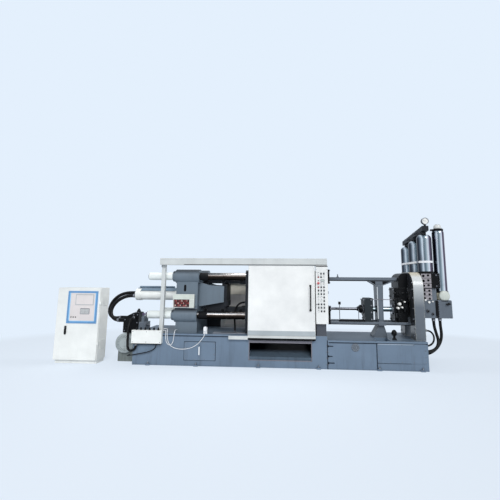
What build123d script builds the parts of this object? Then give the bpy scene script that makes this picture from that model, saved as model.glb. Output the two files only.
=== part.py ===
from build123d import *
from math import pi, tan
import os

os.makedirs("parts", exist_ok=True)

# A cold chamber die casting machine with its free-standing control cabinet, in millimetres.
# +X runs from the clamp end to the injection end, -Y is the operator's side, +Z is up.
# The origin is on the floor, under the middle of the machine bed.

# Machine beds
bed_left = -3050
bed_seam = 1065
bed_right = 3080
bed_half_width = 620
clamp_bed_height = 650
injection_bed_height = 570
pocket_left = 2100
pocket_right = 2370
pocket_front = -590
pocket_back = -170
pocket_depth = 200
lug_width = 90
lug_depth = 46
lug_height = 34
lug_places = (-2700, -1670, -360, 880, 2100, 2950)

# Casting drop-out in the clamp bed
drop_left = -550
drop_right = 735
drop_low = 155
drop_high = 495
drop_depth = 900
drop_hole_left = -250
drop_hole_right = 590
drop_hole_half = 300
chute_plate = 10
chute_lip = 60

# Access panels
panel_plate = 12
left_panel = (-1930, -1270, 120, 489)
right_panel = (2070, 3040, 149, 526)
handle_radius = 9
handle_reach = 42
handle_low = 213
handle_high = 424

# Tie bars and platens
tie_radius = 80
tie_pitch = 840
clamp_axis_height = 1440
tie_left = -2850
tie_right = 1045
tie_fit = 0.4
nut_radius = 118
nut_length = 65
platen_half_width = 560
platen_bottom = 850
platen_top = 2000
platen_corner = 90
way_height = 15
way_width = 150
way_offset = 420
way_run = 700
way_end_gap = 20
foot_width = 230

tail_block_low = 1180
tail_block_high = 1935
tail_block_side = 90
pedestal_side = 60
tail_left = -2195
tail_right = -1720
boss_radius = 152
boss_left = -2225
upper_boss_right = -1695
cheek_inner = 290
cheek_thickness = 60
cheek_end = -1170
cheek_knee = (-1490, 1665)
cheek_root_low = 1200
cheek_root_high = 1738
cheek_end_low = 1300
cheek_end_high = 1650
slot_x = -2002
slot_height = 1604
slot_length = 150
slot_width = 55
slot_depth = 60
moving_left = -660
moving_right = -320
fixed_left = 620
fixed_right = 925

# Toggle linkage between the tail platen and the moving platen
toggle_offset = 325
pin_radius = 40
pin_fit = 0.4
tail_pin_x = -1600
middle_pin_x = -1200
platen_pin_x = -800
link_radius = 72
inner_link_half = 122
outer_link_inner = 126
outer_link_outer = 226
crosshead_thickness = 40
crosshead_x = -1165
crosshead_half = 245
crosshead_link_inner = 230
crosshead_link_outer = 262
short_link_half = 30
short_link_reach = 260
short_link_eye = 52
crosshead_hub_half = 100

# Clamp cylinder
clamp_cylinder_radius = 140
clamp_cylinder_left = -3300
clamp_flange_radius = 210
clamp_flange_thickness = 70
clamp_rear_head = 120
clamp_front_head = 90
clamp_head_step = 12
clamp_barrel_step = 14
clamp_rod_radius = 48

# Guard frame and sliding door
post_left = -2510
post_size = 80
post_front = -600
rail_left = -2520
rail_right = 1075
rail_bottom = 2105
rail_top = 2250
rail_front = -700
rail_back = -520
rail_skin = 12
rear_guard_left = -1400
rear_guard_middle = -180
rear_guard_top = 1800
track_front = -650
track_thickness = 12
roller_radius = 26
roller_width = 22
roller_headroom = 9.7
door_left = -585
door_right = 822
door_bottom = 615
door_top = 2155
door_front = -682
door_back = -645
door_skin = 3
door_frame_width = 70
door_handle_x = 726
door_handle_low = 1174
door_handle_high = 1677
door_handle_reach = 62
door_handle_radius = 13
guide_left = -980
guide_bottom = 568
guide_lip_top = 640
guide_plate = 8
running_gap = 0.3
track_top = rail_top - rail_skin - roller_headroom - 2 * roller_radius - running_gap

# Push button panel
button_panel_left = 838
button_panel_right = 1090
button_panel_bottom = 905
button_panel_front = -705
button_panel_back = -590
panel_seam_low = 1983
panel_seam_high = 1989
button_rows = 11
button_radius = 11
button_height = 9
button_top = 1930
button_low = 1160
button_column_xs = (892, 950, 1008)
column_left = 850
column_right = 1050
column_front = -612
column_back = -565

# Injection end
shot_axis_height = 1165
pillar_half = 150
beam_half = 70
rail_inner = 150
rail_outer = 235
head_half = 180
beam_low = 1782
beam_high = 1868
lower_rail_low = 845
lower_rail_high = 905
pillar_left = 2230
pillar_right = 2360
pillar_foot_left = 2110
pillar_foot_right = 2420
pillar_passage = 78
gusset_left = 2065
gusset_right = 2620
gusset_drop = 95
frame_plate_left = 1130
frame_plate_right = 1165
upper_plate_low = 1720
upper_plate_high = 2035
lower_plate_high = 1225
sleeve_radius = 62
sleeve_bore = 41
plunger_radius = 30
shot_rod_radius = 55
rod_fit = 0.1
shot_stroke = 500
coupling_left = 1800
coupling_right = 1905
coupling_radius = 92
guide_head_left = 1935
guide_head_right = 2125
guide_head_high = 1410
shot_head_left = 2585
shot_head_right = 2860
shot_head_high = 1640
shot_body_right = 3140
shot_barrel_radius = 175
end_frame_left = 2900
end_frame_right = 3107
end_frame_half = 480
end_frame_top = 1985
end_frame_shoulder = 330
tunnel_half = 190
tunnel_top = 1600
tunnel_corner = 120

# Accumulators over the end of the injection unit
base_left = 2690
base_right = 3480
base_low = 1640
base_high = 1965
base_radius = 150
base_head_front = -150
base_head_back = 360
accumulator_x = 3300
accumulator_radius = 155
accumulator_ys = (-150, 400, 950)
accumulator_dome = 90
accumulator_neck = 40
bank_back = 1150
bank_front = -338
header_near = 2885
header_slope = 0.15
header_thickness = 105
header_pad = 14
header_pad_radius = 52
header_half = 70
header_overhang = 130
gauge_radius = 75
gauge_depth = 60
gauge_rise = 125
gauge_post_radius = 26
strap_low = 2190
strap_height = 45
strap_thickness = 7
side_accumulator_x = 3625
side_accumulator_y = -120
side_accumulator_radius = 125
side_accumulator_low = 1545
side_accumulator_top = 2950
end_block_right = 3440
end_block_front = -300
end_block_low = 1010
end_block_high = 1640
manifold_right = 3750
manifold_front = end_block_front
manifold_back = 60
manifold_high = 1390

# Pump unit at the clamp end
motor_x = -3330
motor_height = 400
motor_radius = 210
motor_front = -430
motor_back = 260
cradle_left = -3500
cradle_right = -3120
pump_block_left = -3455
pump_block_right = -3100
pump_block_low = 600
pump_block_high = 930
pump_block_ridge = 1040
pump_block_ridge_x = -3230
hose_port_reach = 120
eye_inset = 60
eye_length = 110
eye_low = 700
hose_port_radius = 44
hose_port_places = ((-100, 905), (-200, 862))
pump_block_front = -300
pump_block_back = -50
terminal_left = -3060
terminal_right = -2410
terminal_low = 450
terminal_high = 720
terminal_front = -705
terminal_back = -620

# Small boxes and valves of the clamp end
junction_left = -2241
junction_right = -1774
junction_low = 1185
junction_high = 1472
junction_depth = 70
junction_wall = 12
junction_window_right = -1875
junction_window_high = 1363
switch_x = -1500
switch_half = 30
switch_front = -633
switch_back = -597
switch_low = 712
switch_high = 807
valve_left = -3040
valve_right = -2890
valve_front = -420
valve_back = -160
valve_height = 200

# Control cabinet
cabinet_left = -4775
cabinet_right = -3815
cabinet_front = -660
cabinet_back = -330
cabinet_height = 1595
cabinet_plinth = 70
cabinet_door_thickness = 24
cabinet_door_gap = 8
hinge_radius = 9
hinge_pin_radius = 4
hinge_fit = 0.05
hinge_out = 8
hinge_heights = (400, 1250)
knuckle = 40
ear = 8
screen_left = -4535
screen_right = -3865
screen_low = 840
screen_high = 1525
screen_depth = 14
screen_border = 40
screen_recess = 6
latch_x = -4540
latch_height = 695
latch_length = 180
latch_width = 36
latch_depth = 26
cabinet_sheet = 30

# Planes: across the machine, facing its front, and level with the floor


def across(x):
    return Plane.YZ.offset(x)


def facing(y):
    return Plane.XZ.offset(-y)


def level(z):
    return Plane.XY.offset(z)


# Rectangle given by its four limits, in the open sketch
def span(low_a, high_a, low_b, high_b):
    with Locations(((low_a + high_a) / 2, (low_b + high_b) / 2)):
        Rectangle(high_a - low_a, high_b - low_b)


# Plate or block: a rectangle by its limits on a plane, made thick, in the open part
def plate(plane, low_a, high_a, low_b, high_b, thickness, mode=Mode.ADD):
    with BuildSketch(plane) as outline:
        span(low_a, high_a, low_b, high_b)
    extrude(outline.sketch, amount=thickness, mode=mode)


# Round bar, boss or bore: a circle on a plane, made long, in the open part
def round_bar(plane, a, b, radius, length, mode=Mode.ADD):
    with BuildSketch(plane) as outline:
        with Locations((a, b)):
            Circle(radius)
    extrude(outline.sketch, amount=length, mode=mode)


def write(piece, name):
    piece.label = name
    export_step(piece, "parts/" + name + ".step")


tie_height_low = clamp_axis_height - tie_pitch / 2
tie_height_high = clamp_axis_height + tie_pitch / 2
tie_side = tie_pitch / 2
tie_places = [(y, z) for y in (-tie_side, tie_side) for z in (tie_height_low, tie_height_high)]

# Clamp bed with the drop-out recess, a hole down to it between the platens, and levelling lugs
with BuildPart() as clamp_bed:
    plate(level(0), bed_left, bed_seam, -bed_half_width, bed_half_width, clamp_bed_height)
    plate(facing(-bed_half_width), drop_left, drop_right, drop_low, drop_high, -drop_depth, Mode.SUBTRACT)
    plate(level(drop_low), drop_hole_left, drop_hole_right, -drop_hole_half, drop_hole_half,
          clamp_bed_height, Mode.SUBTRACT)
    for lug in lug_places[:4]:
        for side in (-1, 1):
            near = side * bed_half_width
            far = side * (bed_half_width + lug_depth)
            plate(level(0), lug - lug_width / 2, lug + lug_width / 2, min(near, far), max(near, far), lug_height)
write(clamp_bed.part, "clamp_bed")

# Injection bed, a little lower, with a pocket in its top before the pillar
with BuildPart() as injection_bed:
    plate(level(0), bed_seam, bed_right, -bed_half_width, bed_half_width, injection_bed_height)
    plate(level(injection_bed_height - pocket_depth), pocket_left, pocket_right, pocket_front, pocket_back,
          pocket_depth, Mode.SUBTRACT)
    for lug in lug_places[4:]:
        for side in (-1, 1):
            near = side * bed_half_width
            far = side * (bed_half_width + lug_depth)
            plate(level(0), lug - lug_width / 2, lug + lug_width / 2, min(near, far), max(near, far), lug_height)
write(injection_bed.part, "injection_bed")

# Sloping chute that brings castings out to the front
chute_back = -bed_half_width + drop_depth
with BuildPart() as drop_chute:
    with BuildSketch(across(drop_left)):
        with BuildLine():
            Polyline(
                (-bed_half_width + 10, drop_low),
                (-bed_half_width + 10, drop_low + chute_lip),
                (chute_back, drop_high - 60),
                (chute_back, drop_high - 60 - 3 * chute_plate),
                (-bed_half_width + 120, drop_low),
                close=True,
            )
        make_face()
    extrude(amount=drop_right - drop_left)
write(drop_chute.part, "drop_chute")

# Access panels on the bed's front, the left one with an upright bar handle
with BuildPart() as access_panels:
    for limits in (left_panel, right_panel):
        plate(facing(-bed_half_width), *limits, panel_plate)
    fillet(access_panels.edges().filter_by(Axis.Y), 12)
    handle_x = (left_panel[0] + left_panel[1]) / 2
    handle_face = -bed_half_width - panel_plate
    with BuildLine() as handle_route:
        FilletPolyline(
            (handle_x, handle_face, handle_low),
            (handle_x, handle_face - handle_reach, handle_low),
            (handle_x, handle_face - handle_reach, handle_high),
            (handle_x, handle_face, handle_high),
            radius=22,
        )
    with BuildSketch(Plane(handle_route.line @ 0, z_dir=handle_route.line % 0)):
        Circle(handle_radius)
    sweep(path=handle_route.line)
write(access_panels.part, "access_panels")

# Hardened ways under the moving platen
with BuildPart() as platen_ways:
    for side in (-1, 1):
        plate(level(clamp_bed_height), moving_left - way_run, fixed_left - way_end_gap,
              side * way_offset - way_width / 2, side * way_offset + way_width / 2, way_height)
    plate(level(clamp_bed_height), drop_hole_left - 1, drop_hole_right + 1, -drop_hole_half, drop_hole_half,
          way_height, Mode.SUBTRACT)
write(platen_ways.part, "platen_ways")


# Outline of a platen seen along the machine, with its tie bar holes and the flats of its feet
def platen_outline(bottom):
    with Locations((0, (platen_bottom + platen_top) / 2)):
        RectangleRounded(2 * platen_half_width, platen_top - platen_bottom, platen_corner)
    for side in (-1, 1):
        span(side * way_offset - foot_width / 2, side * way_offset + foot_width / 2, bottom, platen_bottom + 100)


def tie_holes(x, length):
    with BuildSketch(across(x)) as holes:
        with Locations(*tie_places):
            Circle(tie_radius + tie_fit)
    extrude(holes.sketch, amount=length, mode=Mode.SUBTRACT)


# Lug for a toggle pin: a rounded arm from a platen's face, seen from the front
def lug_arm(pin_x, root_x, height):
    with Locations((pin_x, height)):
        Circle(link_radius)
    span(min(pin_x, root_x), max(pin_x, root_x), height - link_radius, height + link_radius)


# Blocks across the machine from a front outline: from low_y to high_y
def pin_holes(pin_x, low_y, high_y):
    with BuildSketch(facing(low_y)) as holes:
        with Locations((pin_x, clamp_axis_height - toggle_offset), (pin_x, clamp_axis_height + toggle_offset)):
            Circle(pin_radius + pin_fit)
    extrude(holes.sketch, amount=-(high_y - low_y), mode=Mode.SUBTRACT)


# Tail platen casting: block, four tie bar bosses, pedestal, toggle lugs and tapered side cheeks
with BuildPart() as tail_platen:
    with BuildSketch(across(tail_left)):
        with Locations((0, (tail_block_low + tail_block_high) / 2)):
            RectangleRounded(2 * (tie_side + tail_block_side), tail_block_high - tail_block_low, pedestal_side)
        span(-tie_side - pedestal_side, tie_side + pedestal_side, clamp_bed_height, tail_block_low + 20)
    extrude(amount=tail_right - tail_left)
    for y, z in tie_places:
        boss_right = upper_boss_right if z > clamp_axis_height else tail_right
        round_bar(across(boss_left), y, z, boss_radius, boss_right - boss_left)
    for side in (-1, 1):
        low_y = min(side * cheek_inner, side * (cheek_inner + cheek_thickness))
        with BuildSketch(facing(low_y)) as cheek:
            with BuildLine():
                Polyline(
                    (tail_right - 10, cheek_root_high),
                    cheek_knee,
                    (cheek_end, cheek_end_high),
                    (cheek_end, cheek_end_low),
                    (tail_right - 10, cheek_root_low),
                    close=True,
                )
            make_face()
        extrude(cheek.sketch, amount=-cheek_thickness)
    with BuildSketch(facing(-inner_link_half)) as lugs:
        for side in (-1, 1):
            lug_arm(tail_pin_x, tail_right - 10, clamp_axis_height + side * toggle_offset)
    extrude(lugs.sketch, amount=-2 * inner_link_half)
    pin_holes(tail_pin_x, -inner_link_half - 5, inner_link_half + 5)
    tie_holes(boss_left, upper_boss_right - boss_left)
    round_bar(across(tail_left), 0, clamp_axis_height, clamp_rod_radius + 2, tail_right - tail_left, Mode.SUBTRACT)
    with BuildSketch(facing(-tie_side - tail_block_side)) as slot:
        with Locations((slot_x, slot_height)):
            SlotOverall(slot_length, slot_width, rotation=90)
    extrude(slot.sketch, amount=-slot_depth, mode=Mode.SUBTRACT)
write(tail_platen.part, "tail_platen")

# Four tie bars
with BuildPart() as tie_bars:
    with BuildSketch(across(tie_left)):
        with Locations(*tie_places):
            Circle(tie_radius)
    extrude(amount=tie_right - tie_left)
    chamfer(tie_bars.edges().filter_by(GeomType.CIRCLE), 8)
write(tie_bars.part, "tie_bars")


# Round nuts with spanner flats, on the tie bars against a face
def tie_nuts(x):
    with BuildSketch(across(x)) as nuts:
        with Locations(*tie_places):
            RegularPolygon(nut_radius, 12)
        with Locations(*tie_places):
            Circle(tie_radius + tie_fit, mode=Mode.SUBTRACT)
    extrude(nuts.sketch, amount=nut_length)


with BuildPart() as tie_bar_nuts:
    tie_nuts(boss_left - nut_length)
    tie_nuts(fixed_right)
write(tie_bar_nuts.part, "tie_bar_nuts")

# Moving platen with forked lugs behind it for the front toggle links
with BuildPart() as moving_platen:
    with BuildSketch(across(moving_left)):
        platen_outline(clamp_bed_height + way_height)
    extrude(amount=moving_right - moving_left)
    for low_y in (-outer_link_outer, outer_link_inner):
        with BuildSketch(facing(low_y)) as lugs:
            for side in (-1, 1):
                lug_arm(platen_pin_x, moving_left + 10, clamp_axis_height + side * toggle_offset)
        extrude(lugs.sketch, amount=-(outer_link_outer - outer_link_inner))
    pin_holes(platen_pin_x, -outer_link_outer - 5, outer_link_outer + 5)
    tie_holes(moving_left, moving_right - moving_left)
write(moving_platen.part, "moving_platen")

# Fixed platen with the hole for the shot sleeve
with BuildPart() as fixed_platen:
    with BuildSketch(across(fixed_left)):
        platen_outline(clamp_bed_height)
    extrude(amount=fixed_right - fixed_left)
    tie_holes(fixed_left, fixed_right - fixed_left)
    round_bar(across(fixed_left), 0, shot_axis_height, sleeve_radius + tie_fit, fixed_right - fixed_left,
              Mode.SUBTRACT)
write(fixed_platen.part, "fixed_platen")


# Toggle link: two round ends joined by a waisted web, drilled for its pins
def link_outline(start_x, end_x, height):
    with Locations((start_x, height), (end_x, height)):
        Circle(link_radius)
    span(start_x, end_x, height - link_radius + 14, height + link_radius - 14)
    with Locations((start_x, height), (end_x, height)):
        Circle(pin_radius + pin_fit, mode=Mode.SUBTRACT)


with BuildPart() as toggle_links:
    for low_y in (-outer_link_outer, outer_link_inner):
        with BuildSketch(facing(low_y)) as rear_links:
            for side in (-1, 1):
                link_outline(tail_pin_x, middle_pin_x, clamp_axis_height + side * toggle_offset)
        extrude(rear_links.sketch, amount=-(outer_link_outer - outer_link_inner))
    with BuildSketch(facing(-inner_link_half)) as front_links:
        for side in (-1, 1):
            link_outline(middle_pin_x, platen_pin_x, clamp_axis_height + side * toggle_offset)
    extrude(front_links.sketch, amount=-2 * inner_link_half)
write(toggle_links.part, "toggle_links")

with BuildPart() as toggle_pins:
    for pin_x in (tail_pin_x, middle_pin_x, platen_pin_x):
        half = crosshead_link_outer + 4 if pin_x == middle_pin_x else outer_link_outer
        with BuildSketch(facing(-half)) as pins:
            with Locations((pin_x, clamp_axis_height - toggle_offset), (pin_x, clamp_axis_height + toggle_offset)):
                Circle(pin_radius)
        extrude(pins.sketch, amount=-2 * half)
write(toggle_pins.part, "toggle_pins")

# Crosshead plate at the end of the clamp rod, with short links to the middle pins
with BuildPart() as crosshead:
    plate(across(crosshead_x), -crosshead_link_outer, crosshead_link_outer, clamp_axis_height - crosshead_half,
          clamp_axis_height + crosshead_half, crosshead_thickness)
    for y in (-crosshead_link_outer, crosshead_link_inner):
        with BuildSketch(facing(y)) as short_links:
            for side in (-1, 1):
                pin_z = clamp_axis_height + side * toggle_offset
                root_z = pin_z - side * short_link_reach
                span(middle_pin_x - short_link_half, middle_pin_x + short_link_half, min(pin_z, root_z),
                     max(pin_z, root_z))
                with Locations((middle_pin_x, pin_z)):
                    Circle(short_link_eye)
            span(middle_pin_x - short_link_half, crosshead_x + crosshead_thickness,
                 clamp_axis_height - crosshead_hub_half, clamp_axis_height + crosshead_hub_half)
            for side in (-1, 1):
                with Locations((middle_pin_x, clamp_axis_height + side * toggle_offset)):
                    Circle(pin_radius + pin_fit, mode=Mode.SUBTRACT)
        extrude(short_links.sketch, amount=-(crosshead_link_outer - crosshead_link_inner))
write(crosshead.part, "crosshead")

# Clamp cylinder behind the tail platen
with BuildPart() as clamp_cylinder:
    round_bar(across(tail_left - clamp_flange_thickness), 0, clamp_axis_height, clamp_flange_radius,
              clamp_flange_thickness)
    round_bar(across(clamp_cylinder_left + clamp_rear_head / 2), 0, clamp_axis_height,
              clamp_cylinder_radius - clamp_barrel_step, tail_left - clamp_cylinder_left - clamp_rear_head / 2)
    round_bar(across(clamp_cylinder_left), 0, clamp_axis_height, clamp_cylinder_radius, clamp_rear_head)
    round_bar(across(tail_left - clamp_flange_thickness - clamp_front_head), 0, clamp_axis_height,
              clamp_cylinder_radius + clamp_head_step, clamp_front_head)
write(clamp_cylinder.part, "clamp_cylinder")

with BuildPart() as clamp_rod:
    round_bar(across(tail_left), 0, clamp_axis_height, clamp_rod_radius, crosshead_x - tail_left)
write(clamp_rod.part, "clamp_rod")

# Guard posts: the tall one at the clamp end, and the short column under the button panel
with BuildPart() as guard_posts:
    plate(level(clamp_bed_height), post_left, post_left + post_size, post_front, post_front + post_size,
          rail_bottom - clamp_bed_height)
    plate(level(clamp_bed_height), post_left - 20, post_left + post_size + 20, post_front - 15,
          post_front + post_size + 20, 12)
    plate(level(clamp_bed_height), column_left, column_right, column_front, column_back,
          button_panel_bottom - clamp_bed_height)
write(guard_posts.part, "guard_posts")

# Top rail: a closed back box with a hood over the door's rollers and a track inside
with BuildPart() as top_rail:
    with BuildSketch(across(rail_left)):
        span(post_front, rail_back, rail_bottom, rail_top)
        span(rail_front, post_front, rail_top - rail_skin, rail_top)
        span(rail_front, rail_front + rail_skin, rail_bottom, rail_top)
        span(track_front, post_front, track_top - track_thickness, track_top)
    extrude(amount=rail_right - rail_left)
write(top_rail.part, "top_rail")

# Lower guide: a channel along the bed's front in which the door's foot runs
with BuildPart() as door_guide:
    with BuildSketch(across(guide_left)):
        span(rail_front - guide_plate, -bed_half_width, guide_bottom, guide_bottom + guide_plate)
        span(rail_front - guide_plate, rail_front, guide_bottom, guide_lip_top)
    extrude(amount=door_right - guide_left)
write(door_guide.part, "door_guide")

# Sliding front door: a folded pan with stiles, hung on two rollers
hanger_places = (door_left + 220, door_right - 220)
roller_height = track_top + running_gap + roller_radius
with BuildPart() as front_door:
    plate(facing(door_back), door_left, door_right, door_bottom, door_top, door_back - door_front)
    fillet(front_door.edges().filter_by(Axis.Z).group_by(Axis.Y)[0], 10)
    plate(facing(door_back), door_left + door_frame_width, door_right - door_frame_width,
          door_bottom + door_frame_width, door_top - door_frame_width, door_back - door_front - door_skin,
          Mode.SUBTRACT)
    for hanger in hanger_places:
        plate(facing(door_front + 20), hanger - 40, hanger + 40, door_top - 20, roller_height + 20, 12)
        round_bar(facing(track_front + 4 + roller_width), hanger, roller_height, roller_radius, roller_width)
        round_bar(facing(track_front + 6), hanger, roller_height, 10, track_front + 6 - door_front - 20)
write(front_door.part, "front_door")

# Door handle
with BuildPart() as door_handle:
    with BuildLine() as door_handle_route:
        FilletPolyline(
            (door_handle_x, door_front, door_handle_low),
            (door_handle_x, door_front - door_handle_reach, door_handle_low),
            (door_handle_x, door_front - door_handle_reach, door_handle_high),
            (door_handle_x, door_front, door_handle_high),
            radius=30,
        )
    with BuildSketch(Plane(door_handle_route.line @ 0, z_dir=door_handle_route.line % 0)):
        Circle(door_handle_radius)
    sweep(path=door_handle_route.line)
write(door_handle.part, "door_handle")

# Rear guard: posts, a top rail and sheet panels along the back of the clamp unit
rear_guard_y = bed_half_width
rear_post_depth = 40
with BuildPart() as rear_guard:
    for post_x in (rear_guard_left, rear_guard_middle, rail_right - post_size):
        plate(level(clamp_bed_height), post_x, post_x + post_size, rear_guard_y - rear_post_depth, rear_guard_y,
              rear_guard_top - clamp_bed_height)
    plate(level(rear_guard_top - post_size), rear_guard_left, rail_right, rear_guard_y - rear_post_depth,
          rear_guard_y, post_size)
    plate(level(clamp_bed_height), rear_guard_left, rail_right, rear_guard_y - 4, rear_guard_y,
          rear_guard_top - clamp_bed_height)
write(rear_guard.part, "rear_guard")

# Button panel housing with its push buttons
with BuildPart() as button_panel:
    plate(level(button_panel_bottom), button_panel_left, button_panel_right, button_panel_front,
          button_panel_back, rail_bottom - button_panel_bottom)
    fillet(button_panel.edges().filter_by(Axis.Z).group_by(Axis.Y)[0], 8)
    plate(facing(button_panel_front + 2), button_panel_left, button_panel_right, panel_seam_low,
          panel_seam_high, 2, Mode.SUBTRACT)
write(button_panel.part, "button_panel")

button_step = (button_top - button_low) / button_rows
with BuildPart() as push_buttons:
    with BuildSketch(facing(button_panel_front)):
        for row in range(button_rows + 1):
            with Locations(*[(x, button_top - row * button_step) for x in button_column_xs]):
                Circle(button_radius)
    extrude(amount=button_height)
write(push_buttons.part, "push_buttons")


# Side outline of the injection frame's middle web: beam, gussets and waisted pillar on a flared foot
def pillar_outline():
    span(fixed_right, base_left, beam_low, beam_high)
    with BuildLine() as gussets:
        Polyline(
            (gusset_left, beam_low),
            (pillar_left - 10, beam_low - gusset_drop),
            (pillar_right + 10, beam_low - gusset_drop),
            (gusset_right, beam_low),
            close=True,
        )
    make_face(gussets.edges())


# Injection frame: beam on gussets, pillar with a passage for the shot rod, lower rails and end plates
with BuildPart() as injection_frame:
    with BuildSketch(facing(-beam_half)) as web:
        pillar_outline()
    extrude(web.sketch, amount=-2 * beam_half)
    with BuildSketch(facing(-pillar_half)) as pillar_side:
        with BuildLine():
            Polyline(
                (pillar_left - 10, beam_low - gusset_drop),
                (pillar_left, 1300),
                (pillar_left, 800),
                (pillar_foot_left, injection_bed_height + 30),
                (pillar_foot_left, injection_bed_height),
                (pillar_foot_right, injection_bed_height),
                (pillar_foot_right, injection_bed_height + 30),
                (pillar_right, 800),
                (pillar_right, 1300),
                (pillar_right + 10, beam_low - gusset_drop),
                close=True,
            )
        make_face()
    extrude(pillar_side.sketch, amount=-2 * pillar_half)
    fillet(injection_frame.edges().filter_by(Axis.Z).group_by(Axis.Y)[0], 40)
    for low_y in (-rail_outer, rail_inner):
        rail_width = rail_outer - rail_inner
        plate(facing(low_y), fixed_right, end_frame_left, lower_rail_low, lower_rail_high, -rail_width)
        plate(facing(low_y), frame_plate_left, frame_plate_right, lower_rail_low, lower_plate_high, -rail_width)
    plate(across(frame_plate_left), -pillar_half, pillar_half, upper_plate_low, upper_plate_high,
          frame_plate_right - frame_plate_left)
    round_bar(across(pillar_left - 10), 0, shot_axis_height, pillar_passage, pillar_right - pillar_left + 20,
              Mode.SUBTRACT)
write(injection_frame.part, "injection_frame")

# Shot sleeve through the fixed platen, with its pouring hole
with BuildPart() as shot_sleeve:
    with BuildSketch(across(fixed_left)):
        with Locations((0, shot_axis_height)):
            Circle(sleeve_radius)
            Circle(sleeve_bore, mode=Mode.SUBTRACT)
    extrude(amount=frame_plate_right + 60 - fixed_left)
    with BuildSketch(level(shot_axis_height)) as pouring_hole:
        with Locations((frame_plate_right - 40, 0)):
            SlotOverall(110, 60)
    extrude(pouring_hole.sketch, amount=sleeve_radius + 10, mode=Mode.SUBTRACT)
write(shot_sleeve.part, "shot_sleeve")

# Plunger rod with its tip in the sleeve
with BuildPart() as plunger_rod:
    plunger_left = frame_plate_right + 10
    round_bar(across(plunger_left), 0, shot_axis_height, plunger_radius, coupling_left - plunger_left)
write(plunger_rod.part, "plunger_rod")

# Plunger coupling: a turned cone between the plunger rod and the shot cylinder's rod
with BuildPart() as plunger_coupling:
    with BuildSketch(Plane.XZ):
        with BuildLine():
            Polyline(
                (coupling_left, shot_axis_height),
                (coupling_left, shot_axis_height + 42),
                (coupling_left + 20, shot_axis_height + 48),
                (coupling_right - 35, shot_axis_height + coupling_radius),
                (coupling_right, shot_axis_height + coupling_radius),
                (coupling_right, shot_axis_height),
                close=True,
            )
        make_face()
    revolve(axis=Axis((0, 0, shot_axis_height), (1, 0, 0)))
write(plunger_coupling.part, "plunger_coupling")

with BuildPart() as shot_rod:
    round_bar(across(coupling_right), 0, shot_axis_height, shot_rod_radius,
              shot_head_left + shot_stroke + 20 - coupling_right)
write(shot_rod.part, "shot_rod")

# Guide head that the shot rod runs through, between the side frames
with BuildPart() as shot_guide_head:
    with BuildSketch(facing(-head_half)):
        with BuildLine():
            Polyline(
                (guide_head_left + 20, lower_rail_high),
                (guide_head_left + 20, 990),
                (guide_head_left, 1040),
                (guide_head_left, guide_head_high - 60),
                (guide_head_left + 40, guide_head_high),
                (guide_head_right, guide_head_high),
                (guide_head_right, lower_rail_high),
                close=True,
            )
        make_face()
    extrude(amount=-2 * head_half)
    round_bar(across(guide_head_left), 0, shot_axis_height, shot_rod_radius + rod_fit,
              guide_head_right - guide_head_left, Mode.SUBTRACT)
write(shot_guide_head.part, "shot_guide_head")

# Shot cylinder head and barrel
with BuildPart() as shot_cylinder:
    plate(across(shot_head_left), -head_half, head_half, lower_rail_high, shot_head_high,
          shot_head_right - shot_head_left)
    round_bar(across(shot_head_right), 0, shot_axis_height, shot_barrel_radius, shot_body_right - shot_head_right)
    round_bar(across(shot_head_left), 0, shot_axis_height, shot_rod_radius + rod_fit, shot_stroke + 30,
              Mode.SUBTRACT)
write(shot_cylinder.part, "shot_cylinder")

# End frame: an arch with rounded shoulders and a tunnel for the shot cylinder, on a low foot
with BuildPart() as end_frame:
    with BuildSketch(across(end_frame_left)) as arch:
        span(-end_frame_half, end_frame_half, injection_bed_height, end_frame_top)
        fillet(arch.vertices().group_by(Axis.Y)[-1], end_frame_shoulder)
    extrude(arch.sketch, amount=end_frame_right - end_frame_left)
    with BuildSketch(across(end_frame_left)) as tunnel:
        span(-tunnel_half, tunnel_half, injection_bed_height, tunnel_top)
        fillet(tunnel.vertices().group_by(Axis.Y)[-1], tunnel_corner)
    extrude(tunnel.sketch, amount=end_frame_right - end_frame_left, mode=Mode.SUBTRACT)
write(end_frame.part, "end_frame")

# Valve body that carries the accumulator bank, with a round-shouldered head on the frame's near side
with BuildPart() as accumulator_base:
    plate(across(end_frame_right), bank_front, bank_back, base_low, base_high, base_right - end_frame_right)
    with BuildSketch(facing(base_head_front)) as head:
        span(base_left, end_frame_left, base_low, base_high)
        fillet(head.vertices().group_by(Axis.X)[0].sort_by(Axis.Y)[-1], base_radius)
    extrude(head.sketch, amount=base_head_front - base_head_back)
write(accumulator_base.part, "accumulator_base")


# Accumulator bottle: a barrel with a domed crown and a neck, turned about its own axis
def bottle(x, y, radius, low, top, dome, neck_top, neck_radius=38):
    with BuildSketch(Plane((x, y, low), x_dir=(1, 0, 0), z_dir=(0, -1, 0))) as half:
        with BuildLine():
            shoulder = top - low - dome
            Polyline((0, 0), (radius - 30, 0), (radius, 30), (radius, shoulder))
            ThreePointArc(
                (radius, shoulder),
                (radius * 0.8, shoulder + dome * 0.62),
                (neck_radius, shoulder + dome),
            )
            Polyline((neck_radius, shoulder + dome), (neck_radius, neck_top - low), (0, neck_top - low), (0, 0))
        make_face()
    revolve(half.sketch, axis=Axis((x, y, 0), (0, 0, 1)))


# Height of the sloping header's underside over a place across the machine
def header_under(y):
    return header_near - header_slope * (y - accumulator_ys[0])


with BuildPart() as accumulators:
    for y in accumulator_ys:
        neck_top = header_under(y) - header_pad
        bottle(accumulator_x, y, accumulator_radius, base_high, neck_top - accumulator_neck, accumulator_dome,
               neck_top)
write(accumulators.part, "accumulators")

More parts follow.
